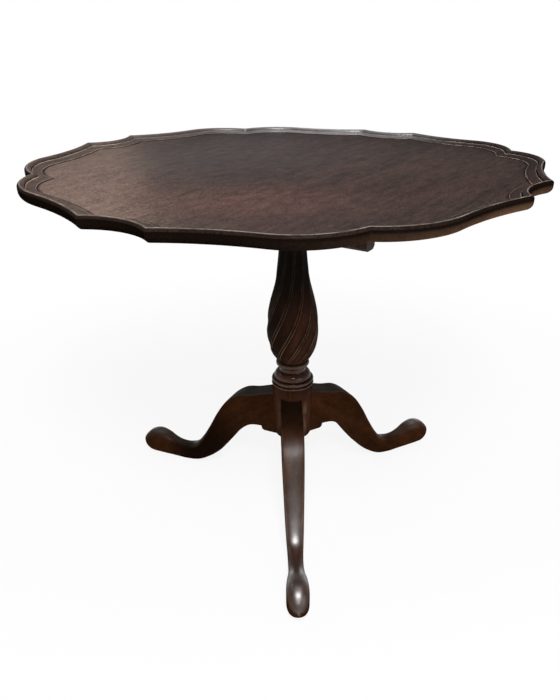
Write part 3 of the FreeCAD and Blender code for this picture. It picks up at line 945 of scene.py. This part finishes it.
    def build(self) -> None:
        """Make the board and put it on the tilting body."""
        rings = self.side_rings() + self.moulding_rings() + self.field_rings()
        settle(lofted("tray_board", rings, self.sharp), TRAY_WOOD, "top", "tray_top")


@dataclass
class Profile:
    """A turned section drawn point by point, each with its abrasion and painted highlight, and its
    soiling and painted shade.
    """

    line: list[tuple[Vector, float, float]] = field(default_factory=list)
    crest_wear: float = 0.35
    end_grime: float = 0.6
    shade_span: Span = (0.45, 0.7)

    def go(self, radius: float, level: float, grime: float = 0.0) -> None:
        """Go straight to a point."""
        self.line.append((Vector((radius, 0, level)), 0.0, grime))

    def bow(self, radius: float, level: float, end_radius: float, end_level: float, count: int,
            wear: float = 0.0, shade: float = 0.0) -> None:
        """Go on in an arc that is abraded and painted lighter on its crest, and darkened with
        soiling and painted shade at its ends.

        Args:
            radius: Radius of a point on the way.
            level: Height of that point.
            end_radius: Radius of the end.
            end_level: Height of the end.
            count: Number of points.
            wear: Abrasion and painted highlight of the crest.
            shade: Painted shade of the upper part.
        """
        middle, end = Vector((radius, 0, level)), Vector((end_radius, 0, end_level))
        for index, point in enumerate(arc_through(self.line[-1][0], middle, end, count)):
            crest = 1 - abs(2 * (index + 1) / count - 1)
            grime = max(self.end_grime * (1 - crest) ** 6,
                        shade * smooth_step(index / count, *self.shade_span))
            self.line.append((point, self.crest_wear * wear * crest ** 2, grime))

    def bead(self, level: float, part: Span, end_radius: float, count: int,
             wear: float = 0.0, shade: float = 0.0) -> float:
        """Bow through a part's radius at half its height, and give the level at its end."""
        self.bow(part[1], level + part[0] / 2, end_radius, level + part[0], count, wear, shade)
        return level + part[0]


@dataclass
class Pillar:
    """Turned pillar: leg drum, rings, spiral-reeded vase, capital and tenon."""

    clearance: float = 0.143
    drum_height: float = 0.1215
    drum_radius: float = 0.042
    drum_steps: int = 8
    foot_radius: float = 0.0385
    foot_round: float = 0.009
    thin_ring: Span = (0.004, 0.0432)
    groove: Span = (0.003, 0.0396)
    torus: Span = (0.008, 0.0430)
    dome: Span = (0.016, 0.0375)
    neck: Span = (0.010, 0.0273)
    neck_hollow: float = 0.0011
    ring: Span = (0.013, 0.0340)
    crisp: float = 0.0003
    dome_lip: float = 0.0004
    dome_rises: Span = (0.0002, 0.0006)
    vase_radius: float = 0.0509
    astragal: Span = (0.009, 0.0300)
    capital: Span = (0.026, 0.0440)
    block_under: float = 0.6417
    tenon_radius: float = 0.022
    tenon_top: float = 0.6827
    tip_radius: float = 0.002
    reeds: int = 10
    twist: float = 100.0
    twist_power: float = 2.3
    phase: float = -1.0
    ridge_share: float = 0.28
    ridge_proud: float = 0.017
    ridge_dip: Span = (0.45, 0.3)
    ridge_edges: Span = (0.35, 0.9)
    # Bright arris lines on the ridges: abrasion and painted highlight.
    ridge_wear: float = 0.5
    # Soiling and painted shade in the ridge's middle groove, on its sides and in the quirks, dying
    # away across each hollow.
    ridge_grime: float = 0.2
    crack_share: float = 0.25
    crack_grime: float = 0.85
    quirk_share: float = 0.95
    quirk_grime: float = 0.92
    hollow_depth: float = 0.025
    reed_span: Span = (-0.01, 0.05)
    # Painted shade of the tray, partly soiling, over the upper vase; it hides the arris lines.
    soot_span: Span = (0.10, 0.66)
    soot_hides: float = 0.8
    # Painted shade on the left side of the vase.
    sooty_side: float = 195.0
    sooty_span: Span = (0.2, 0.9)
    sooty_share: float = 0.8
    vase_polish: float = 0.05
    drum_polish: float = 0.04
    ring_polish: float = 0.6
    sharp: float = 35.0
    vase_shares: tuple[Span, ...] = (
        (0.0, 0.61), (0.029, 0.737), (0.059, 0.827), (0.107, 0.930), (0.175, 0.996),
        (0.2425, 1.022), (0.317, 0.995), (0.385, 0.9355), (0.453, 0.855), (0.52, 0.760),
        (0.588, 0.675), (0.666, 0.6135), (0.775, 0.5426), (0.887, 0.503), (1.0, 0.490))
    vase_steps: int = 7
    ridge_steps: int = 12
    hollow_steps: int = 14
    flank_from: Span = (0.002, 0.018)
    flank_to: Span = (0.072, 0.100)
    flanks: tuple[Triple, ...] = ((0.45, -53, 7), (0.24, -129, 10))

    def turns(self) -> list[tuple[float, float, float]]:
        """Directions of a ring's points, with their place on ridge or hollow.

        Returns:
            For each point its direction in degrees, its place across a ridge from -1 to 1 (2 off
            the ridge), and how deep it lies in a hollow from 0 to 1.
        """
        pitch = 360 / self.reeds
        half = pitch * self.ridge_share / 2
        rows = []
        for reed in range(self.reeds):
            middle = pitch * reed
            for step in range(self.ridge_steps):
                across = 2 * step / self.ridge_steps - 1
                rows.append((middle + half * across, across, 0.0))
            for step in range(self.hollow_steps):
                across = 2 * step / self.hollow_steps - 1
                turn = middle + pitch / 2 + (pitch / 2 - half) * across
                rows.append((turn, 2.0, 1 - across * across))
        return rows

    def round_ring(self, radius: float, level: float, **marks: Sequence[float] | float) -> Ring:
        """A plain turned ring with its marks."""
        points = [polar(radius, turn, level) for turn, _, _ in self.turns()]
        return self.placed(points, {Mark(name): amount for name, amount in marks.items()})

    @staticmethod
    def placed(points: list[Vector], marks: dict[Mark, Any]) -> Ring:
        """Move points from the axis to the pillar's place, with the grain running up."""
        grain = [Vector((p.z, p.x, p.y)) for p in points]
        return Ring([p + PILLAR_AXIS for p in points], grain, marks)

    def reeded_ring(self, share: float, radius: float) -> Ring:
        """A ring of the vase with its ridges and hollows.

        Args:
            share: Height in the vase from 0 to 1.
            radius: Radius over the ridges in metres.

        Returns:
            The ring.
        """
        level = self.vase_level + (self.vase_top - self.vase_level) * share
        start = self.phase + self.twist * (1 - (1 - share) ** self.twist_power)
        depth = smooth_step(share, *self.reed_span)
        low = radius * (1 - self.ridge_proud * depth)
        # Painted shade under the tray, partly soiling, growing up the vase.
        soot = smooth_step(share, *self.soot_span)
        dip, dip_width = self.ridge_dip
        inner, outer = self.ridge_edges
        points, wear, grime = [], [], []
        for turn, across, sunk in self.turns():
            aside = abs(across)
            proud = 0.0 if aside > 1 else (1 - aside ** 4) - dip * bell(across, 0, dip_width)
            out = low + (radius - low) * proud - low * self.hollow_depth * depth * sunk
            points.append(polar(out, start + turn, level))
            # Arris lines of abrasion and painted highlight.
            rub = self.ridge_wear if inner < aside < outer else 0.0
            wear.append(rub * depth * (1 - self.soot_hides * soot))
            # Grooves and the hollows' edges are dark with soiling and painted shade.
            if aside < self.quirk_share:
                dirt = self.crack_grime if aside < self.crack_share else self.ridge_grime
            else:
                dirt = self.quirk_grime * (1 - sunk) ** 1.1
            # Painted shade on the vase's left side.
            left = math.cos(math.radians(start + turn - self.sooty_side))
            side = self.sooty_share * smooth_step(left, *self.sooty_span)
            grime.append(max(soot, dirt * depth, side))
        marks = {Mark.WEAR: wear, Mark.GRIME: grime, Mark.POLISH: self.vase_polish}
        return self.placed(points, marks)

    def base_profile(self) -> list[tuple[Vector, float, float]]:
        """Section of the turned base from the underside to the vase.

        Returns:
            Points with their abrasion and painted highlight, and their soiling and painted shade.
        """
        corner = self.foot_round * (1 - math.sqrt(0.5))
        foot, low = self.foot_radius, self.clearance
        turned = Profile()
        # The underside is darkened with soiling and painted shade.
        turned.go(self.tip_radius, low, 0.5)
        turned.go(foot - self.foot_round, low, 0.3)
        turned.bow(foot - corner, low + corner, foot, low + self.foot_round, 8, wear=0.2)
        # The drum darkens towards its top with soiling and painted shade.
        for step in range(1, self.drum_steps + 1):
            share = step / self.drum_steps
            rise = self.foot_round + (self.drum_height - self.foot_round) * share
            turned.go(foot + (self.drum_radius - foot) * share, low + rise, 0.5 * share ** 8)
        level = turned.bead(low + self.drum_height, self.thin_ring, self.drum_radius, 9, wear=0.7)
        # The groove and the step under the dome are dark lines of soiling and painted shade.
        height, groove = self.groove
        turned.go(groove, level + self.crisp, 0.7)
        turned.go(groove, level + height - self.crisp, 0.7)
        # Painted shade darkens the upper parts of the torus, and of the neck and ring under the
        # vase.
        level = turned.bead(level + height, self.torus, groove, 11, wear=0.7, shade=0.6)
        height, dome = self.dome
        neck = self.neck[1]
        turned.go(dome + self.dome_lip, level + self.dome_rises[0], 0.8)
        turned.go(dome, level + self.dome_rises[1], 0.6)
        turned.bow(neck + (dome - neck) * math.sqrt(0.5), level + height * math.sqrt(0.5),
                   neck, level + height, 12, wear=0.15)
        waist = (self.neck[0], neck - self.neck_hollow)
        level = turned.bead(level + height, waist, neck, 8, shade=0.75)
        turned.bead(level, self.ring, neck, 13, wear=0.5, shade=0.9)
        return turned.line

    @property
    def vase_level(self) -> float:
        """Height of the vase's lower end."""
        parts = (self.thin_ring, self.groove, self.torus, self.dome, self.neck, self.ring)
        return self.clearance + self.drum_height + sum(height for height, _ in parts)

    @property
    def vase_top(self) -> float:
        """Height of the vase's upper end."""
        return self.block_under - self.capital[0] - self.astragal[0]

    def polish_at(self, level: float) -> float:
        """Polish of the base: the rings have had the most rubbing."""
        on_drum = level < self.clearance + self.drum_height
        return self.drum_polish if on_drum else self.ring_polish

    def flank_wear(self, level: float) -> list[float]:
        """Painted light on the drum beside the front leg, most on the right.

        Args:
            level: Height of the ring.

        Returns:
            Painted light of the ring's points.
        """
        high = hump(level - self.clearance, self.flank_from, self.flank_to)
        turns = [(turn + 180) % 360 - 180 for turn, _, _ in self.turns()]
        return [high * sum(amount * bell(turn, at, width) for amount, at, width in self.flanks)
                for turn in turns]

    def top_rings(self) -> list[Ring]:
        """Astragal, capital and tenon.

        Returns:
            The rings above the vase.
        """
        small = self.vase_radius * self.vase_shares[-1][1]
        height, radius = self.capital
        turned = Profile()
        turned.go(small, self.vase_top)
        level = turned.bead(self.vase_top, self.astragal, small, 11)
        turned.bow(radius - (radius - small) * math.sqrt(0.5), level + height * math.sqrt(0.5),
                   radius, self.block_under, 11)
        turned.go(self.tenon_radius, self.block_under)
        turned.go(self.tenon_radius, self.tenon_top)
        turned.go(self.tip_radius, self.tenon_top)
        # The astragal, capital and tenon are darkened with soiling and painted shade.
        return [self.round_ring(point.x, point.z, grime=0.3) for point, _, _ in turned.line[1:]]

    def build(self) -> None:
        """Make the pillar and put it on the base."""
        rings = []
        for point, wear, grime in self.base_profile():
            # Abrasion and painted highlight of the profile, plus painted light on the drum's
            # flanks.
            rubbed = [wear + flank for flank in self.flank_wear(point.z)]
            rings.append(self.round_ring(point.x, point.z, wear=rubbed, grime=grime,
                                         polish=self.polish_at(point.z)))
        rings += [self.reeded_ring(share, self.vase_radius * radius)
                  for share, radius in spline(self.vase_shares, self.vase_steps)]
        rings += self.top_rings()
        piece = lofted("reeded_pillar", rings, self.sharp)
        settle(piece, PILLAR_WOOD, "base", "pillar")


@dataclass
class Leg:
    """Cabriole leg with a stepped bracket and a round foot; spans are shares of its reach."""

    name: str
    direction: float
    # Painted shade, partly soiling, over the lower leg; painted shade at the top of the front leg.
    soot: float = 0.3
    dust: float = 0.9
    crown: float = 0.0
    polish: float = 0.4
    foot_polish: float = 0.5
    reach: float = 0.390
    sway: Span = (0.0, 0.0)
    top: float = 0.238
    thickness: float = 0.044
    camber: float = 0.045
    camber_from: Span = (0.34, 0.52)
    camber_to: Span = (0.66, 0.80)
    round_span: Span = (0.55, 0.70)
    edge_span: Span = (0.60, 0.80)
    shine_span: Span = (0.40, 0.57)
    ankle_span: Span = (0.63, 0.73)
    foot_span: Span = (0.81, 0.89)
    toe_span: Span = (0.88, 0.95)
    knee_dust: Span = (0.30, 0.42)
    # Painted sheen on the top of the foot.
    foot_dust: Span = (0.72, 0.84)
    dust_depth: float = 0.003
    soot_from: Span = (0.34, 0.54)
    soot_to: Span = (0.68, 0.84)
    crown_span: Span = (0.16, 0.36)
    # Light arris lines of abrasion and painted highlight, stronger on the upper corners.
    rub_upper: float = 0.5
    rub_lower: float = 0.15
    knee_shine: float = 0.16
    ankle_loss: float = 0.28
    toe_loss: float = 0.9
    foot_dust_share: float = 0.5
    edge_shine: float = 0.4
    shine_focus: float = 1.5
    sharp: float = 35.0
    bracket_reach: float = 0.063
    bracket_level: float = 0.143
    bracket_step: float = 0.007
    bracket_turns: int = 6
    bracket_flat: Span = (0.036, 0.050)
    bracket_gaps: Span = (0.0002, 0.001)
    grain_fall: float = 38.0
    corner_steps: int = 7
    roundest: float = 0.98
    flat_shares: tuple[float, ...] = (0.03, 0.12, 0.35, 0.65, 0.88, 0.97)
    station_steps: int = 6
    stations: tuple[tuple[float, ...], ...] = (
        (0.061, 1.0257, 0.061, 0.6408, 1.0089, 0.07), (0.131, 0.9941, 0.131, 0.6403, 1.0095, 0.07),
        (0.217, 0.9462, 0.187, 0.6391, 1.0098, 0.07), (0.3005, 0.912, 0.24, 0.6179, 1.0095, 0.08),
        (0.379, 0.8139, 0.288, 0.5567, 0.9902, 0.11), (0.4444, 0.663, 0.336, 0.4626, 0.9501, 0.17),
        (0.5025, 0.4902, 0.389, 0.3446, 0.891, 0.26), (0.5606, 0.3353, 0.452, 0.2198, 0.827, 0.4),
        (0.621, 0.2168, 0.528, 0.1111, 0.7452, 0.55), (0.682, 0.1789, 0.609, 0.0317, 0.661, 0.68),
        (0.735, 0.1773, 0.707, 0, 0.6417, 0.78), (0.785, 0.1966, 0.78, 0, 0.7119, 0.8),
        (0.841, 0.2385, 0.843, 0, 0.8463, 0.82), (0.8965, 0.2525, 0.899, 0, 0.9343, 0.84),
        (0.9444, 0.2237, 0.9356, 0.002, 0.9085, 0.86), (0.975, 0.1788, 0.967, 0.0214, 0.74, 0.9),
        (0.991, 0.1436, 0.987, 0.051, 0.4954, 0.94), (0.999, 0.1202, 0.999, 0.0763, 0.1713, 0.94))

    def placed(self, point: Vector) -> Vector:
        """Turn a point from the leg's own frame to its place, a little out of line."""
        aside = Vector((0, self.sway[0] + self.sway[1] * point.x / self.reach, 0))
        return Matrix.Rotation(math.radians(self.direction), 3, "Z") @ (point + aside) + PILLAR_AXIS

    def grain(self, point: Vector) -> Vector:
        """Coordinates along, across and up the leg's board."""
        fallen = Matrix.Rotation(-math.radians(self.grain_fall), 3, "Y") @ point
        return fallen + Vector((0, self.direction, 0))

    def shine_at(self, share: float) -> float:
        """Polish of the top.

        Args:
            share: Place along the reach from 0 to 1.

        Returns:
            Amount of polish.
        """
        shine = self.polish * (self.knee_shine + smooth_step(share, *self.shine_span))
        shine *= 1 - self.ankle_loss * smooth_step(share, *self.ankle_span)
        toe = 1 - self.toe_loss * smooth_step(share, *self.toe_span)
        return shine + self.foot_polish * smooth_step(share, *self.foot_span) * toe

    def grime_at(self, share: float) -> float:
        """Painted shade, partly soiling, at a share of the reach: over the lower leg, and at the
        top of the front leg.
        """
        return max(self.soot * hump(share, self.soot_from, self.soot_to),
                   self.crown * (1 - smooth_step(share, *self.crown_span)))

    def dust_at(self, share: float) -> float:
        """Dust on the top near the knee and painted sheen on the top of the foot, at a share of the
        reach.
        """
        foot = self.foot_dust_share * smooth_step(share, *self.foot_dust)
        return self.dust * (1 - smooth_step(share, *self.knee_dust) + foot)

    @staticmethod
    def on_corner(centre: Vector, up: Vector, radius: float, degrees: float) -> Vector:
        """Point of a rounded corner."""
        turn = math.radians(degrees)
        return centre + Vector((0, radius * math.cos(turn), 0)) + up * (radius * math.sin(turn))

    def section(self, row: Sequence[float]) -> Ring:
        """A rounded rectangle that leans with the leg.

        Args:
            row: Reach and height of the top and the bottom, width and rounding, as shares.

        Returns:
            The ring.
        """
        share = row[0]
        top = Vector((self.reach * share, 0, self.top * row[1]))
        low = Vector((self.reach * row[2], 0, max(0.0, self.top * row[3])))
        height, up = (top - low).length, (top - low).normalized()
        half = self.thickness * row[4] / 2
        corner = min(height / 2, half) * min(row[5], self.roundest)
        centres = [low + Vector((0, side * (half - corner), 0)) + up * rise for side, rise in (
            (1, height - corner), (-1, height - corner), (-1, corner), (1, corner))]
        rounded = smooth_step(share, *self.round_span)
        edge = self.edge_shine + (1 - self.edge_shine) * smooth_step(share, *self.edge_span)
        shine = self.shine_at(share) * edge
        camber = self.camber * hump(share, self.camber_from, self.camber_to)
        points: list[Vector] = []
        wear: list[float] = []
        polish: list[float] = []
        for index, centre in enumerate(centres):
            # Arris lines of abrasion and painted highlight, fading where the leg rounds.
            rub = (self.rub_upper if index < 2 else self.rub_lower) * (1 - rounded)
            for step in range(self.corner_steps + 1):
                degrees = 90 * (index + step / self.corner_steps)
                middle = 1 - abs(2 * step / self.corner_steps - 1)
                upward = max(0.0, math.sin(math.radians(degrees)))
                points.append(self.on_corner(centre, up, corner, degrees))
                wear.append(rub * middle ** 2)
                polish.append(shine * upward ** (self.shine_focus + rounded))
            last, gloss = points[-1], polish[-1]
            end = self.on_corner(centres[(index + 1) % 4], up, corner, 90 * (index + 1))
            lift = up * (camber * (end - last).length) if index == 0 else Vector()
            for part in self.flat_shares:
                swell = 4 * part * (1 - part)
                points.append(last.lerp(end, part) + lift * swell)
                wear.append(0.0)
                polish.append(gloss * (1 + (1 / edge - 1) * swell))
        # Dust on the top faces and painted sheen on the foot.
        lying = self.dust_at(share)
        sunk = [(height - (point - low).dot(up)) / self.dust_depth for point in points]
        return Ring([self.placed(p) for p in points], [self.grain(p) for p in points], {
            Mark.WEAR: wear, Mark.POLISH: polish, Mark.GRIME: self.grime_at(share),
            Mark.DUST: [lying * max(0.0, 1 - min(1.0, depth)) for depth in sunk]})

    def rows(self) -> list[list[float]]:
        """Rows along the leg, with the stepped bracket cut into the underside by the drum.

        Returns:
            Reach and height of the top and the bottom, width and rounding, as shares.
        """
        fine = spline(self.stations, self.station_steps)
        radius, tip = self.bracket_step, self.bracket_reach
        turns = [math.radians(90 * step / self.bracket_turns)
                 for step in range(self.bracket_turns + 1)]
        heights = [(reach, 0.0) for reach in self.bracket_flat]
        heights += [(tip - radius + radius * math.sin(turn), radius * (1 - math.cos(turn)))
                    for turn in turns]
        made = [fine[0][:3] + [self.bracket_level / self.top] + fine[0][4:]]
        for reach, rise in heights:
            row = self.at_reach(fine, reach / self.reach)
            made.append(row[:3] + [(self.bracket_level + rise) / self.top] + row[4:])
        near, far = (tip + gap for gap in self.bracket_gaps)
        made.append(self.at_reach(fine, near / self.reach))
        return made + [row for row in fine if row[2] * self.reach > far]

    @staticmethod
    def at_reach(rows: list[list[float]], share: float) -> list[float]:
        """The row whose bottom is at a given reach.

        Args:
            rows: Rows along the leg.
            share: The reach, as a share.

        Returns:
            A row between its two neighbours.
        """
        index = next(i for i, row in enumerate(rows) if row[2] > share)
        first, second = rows[index - 1], rows[index]
        part = (share - first[2]) / (second[2] - first[2])
        return [a + (b - a) * part for a, b in zip(first, second)]

    def build(self) -> None:
        """Make the leg and put it on the base."""
        rings = [self.section(row) for row in self.rows()]
        piece = lofted(self.name + "_cabriole", rings, self.sharp)
        settle(piece, LEG_WOOD, "base", self.name)


@dataclass
class Underframe:
    """Bearers, block, pins, iron plate, screws and catch, which keep their CAD shapes."""

    finishes: dict[str, WoodFinish | MetalFinish] = field(default_factory=lambda: {
        "bearer_screw": SCREW_STEEL, "plate_screw": SCREW_STEEL, "bearer": FRAME_WOOD,
        "pivot_block": BLOCK_WOOD, "tenon_wedge": BLOCK_WOOD, "pivot_pin": PIN_IRON,
        "spider_plate": PLATE_IRON, "catch": CATCH_BRASS, "keeper": CATCH_BRASS})

    def dress(self) -> None:
        """Give each piece the material that the start of its name asks for."""
        made = {finish.name: finish.material() for finish in self.finishes.values()}
        for name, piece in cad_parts.items():
            finish = next((f for start, f in self.finishes.items() if name.startswith(start)), None)
            if finish is None:
                continue
            for slot in piece.material_slots:
                slot.material = made[finish.name]
            log.info("%s: %s", name, finish.name)


@dataclass
class Lamp:
    """A soft rectangular lamp."""

    name: str
    place: Vector
    aim: Vector
    width: float
    height: float
    power: float

    def build(self) -> None:
        """Add the lamp to the scene."""
        data = bpy.data.lights.new(self.name, "AREA")
        data.shape = "RECTANGLE"
        data.size, data.size_y = self.width, self.height
        data.energy = self.power
        lamp = bpy.data.objects.new(self.name, data)
        bpy.context.scene.collection.objects.link(lamp)
        lamp.location = self.place
        lamp.rotation_euler = (self.aim - self.place).to_track_quat("-Z", "Y").to_euler()
        lamp.visible_camera = False


@dataclass
class Studio:
    """Pale floor, soft lamps, surroundings and the camera."""

    camera_place: Vector = field(default_factory=lambda: Vector((-0.03281, -1.23443, 0.93477)))
    camera_yaw: float = 0.7236
    camera_pitch: float = 25.914
    camera_roll: float = -0.4818
    camera_lens: float = 34.62
    sensor_width: float = 36.0
    farthest: float = 100.0
    ambient: float = 0.22
    horizon_span: Span = (0.04, 0.22)
    floor_size: float = 60.0
    floor_paint: float = 0.9
    floor_glow: float = 0.88
    floor_span: Span = (0.5, 1.6)
    lamps: tuple[Lamp, ...] = (
        Lamp("key_lamp", Vector((0.08, -1.66, 2.10)), Vector((0, -0.2, 0.15)), 0.45, 0.75, 54.0),
        Lamp("front_lamp", Vector((1.80, -1.90, 1.05)), Vector((0, -0.1, 0.25)), 1.2, 0.8, 8.0),
        Lamp("top_lamp", Vector((0.0, 0.8, 2.9)), Vector((0, 0.1, 0)), 2.2, 2.2, 17.0),
        Lamp("window_lamp", Vector((-2.2, 0.7, 2.4)), Vector((0, 0, 0.7)), 1.2, 1.2, 5.0))

    def floor(self) -> None:
        """Add the floor: nearly white from above with its shadow kept, and clear from below."""
        bpy.ops.object.select_all(action="DESELECT")
        bpy.ops.mesh.primitive_plane_add(size=self.floor_size)
        plane = bpy.context.object
        plane.name = "floor"
        made, recipe = Recipe.material("floor_white")
        paint = recipe.add("ShaderNodeBsdfDiffuse", None, {"Color": (*[self.floor_paint] * 3, 1)})
        glow = recipe.add("ShaderNodeEmission", None, {"Color": (1, 1, 1, 1), "Strength": 1.0})
        away = recipe.add("ShaderNodeVectorMath", {"operation": "LENGTH"},
                          {0: recipe.place()}, "Value")
        glowing = away.between(*self.floor_span) * (1.0 - self.floor_glow) + self.floor_glow
        # Rays that show the floor to the camera, in a mirror or through glass.
        camera, glossy, through = (recipe.add("ShaderNodeLightPath", None, None, f"Is {ray} Ray")
                                   for ray in ("Camera", "Glossy", "Transmission"))
        shown = (camera + glossy + through).held() * glowing
        shade = recipe.add("ShaderNodeMixShader", None, {0: shown, 1: paint, 2: glow})
        below = recipe.add("ShaderNodeNewGeometry", None, None, "Backfacing")
        clear = recipe.add("ShaderNodeBsdfTransparent")
        sheet = recipe.add("ShaderNodeMixShader", None, {0: below, 1: shade, 2: clear})
        recipe.end("ShaderNodeOutputMaterial", sheet)
        plane.data.materials.append(made)

    def surroundings(self) -> None:
        """Light the room: white at the horizon, greyer above."""
        world = bpy.data.worlds.new("studio_room")
        bpy.context.scene.world = world
        world.use_nodes = True
        recipe = Recipe(world.node_tree)
        direction = recipe.add("ShaderNodeTexCoord", None, None, "Generated")
        height = recipe.add("ShaderNodeSeparateXYZ", None, {0: direction}, "Z")
        level = 1.0 - height.between(*self.horizon_span) * (1.0 - self.ambient)
        recipe.end("ShaderNodeOutputWorld", recipe.add("ShaderNodeBackground", None, {
            "Color": (1, 1, 1, 1), "Strength": level}))

    def camera(self) -> None:
        """Put the camera where the photograph was taken."""
        yaw, pitch, roll = (math.radians(a) for a in (
            self.camera_yaw, self.camera_pitch, self.camera_roll))
        level = Vector((math.cos(yaw), -math.sin(yaw), 0))
        ahead = Vector((math.sin(yaw) * math.cos(pitch), math.cos(yaw) * math.cos(pitch),
                        -math.sin(pitch)))
        up = level.cross(ahead)
        right = level * math.cos(roll) + up * math.sin(roll)
        above = up * math.cos(roll) - level * math.sin(roll)
        data = bpy.data.cameras.new("photo_camera")
        data.lens = self.camera_lens
        data.sensor_width = self.sensor_width
        data.clip_end = self.farthest
        camera = bpy.data.objects.new("photo_camera", data)
        bpy.context.scene.collection.objects.link(camera)
        turn = Matrix((right, above, -ahead)).transposed().to_4x4()
        camera.matrix_world = Matrix.Translation(self.camera_place) @ turn
        bpy.context.scene.camera = camera

    def build(self) -> None:
        """Set up the whole studio."""
        bpy.context.scene.view_settings.view_transform = "Standard"
        self.floor()
        self.surroundings()
        for lamp in self.lamps:
            lamp.build()
        self.camera()


def main() -> None:
    """Build the table's pieces and the studio in order."""
    logging.basicConfig(level=logging.INFO, format="%(name)s %(message)s")
    TrayTop().build()
    Pillar().build()
    # The left leg gets the most painted shade; the front leg's top is in painted shade.
    legs = (
        Leg("leg_front", -89.43, soot=0.0, dust=0.0, crown=0.72, polish=1.8, foot_polish=1.8,
            reach=0.3928, sway=(-0.0039, -0.0024)),
        Leg("leg_right", 28.79, soot=0.25, foot_polish=1.9, reach=0.3868, sway=(0.0028, 0.0024)),
        Leg("leg_left", 154.12, soot=0.85, foot_polish=0.7, reach=0.3906, sway=(0.0002, 0.0023)))
    for leg in legs:
        leg.build()
    Underframe().dress()
    Studio().build()


if __name__ == "__main__":
    main()
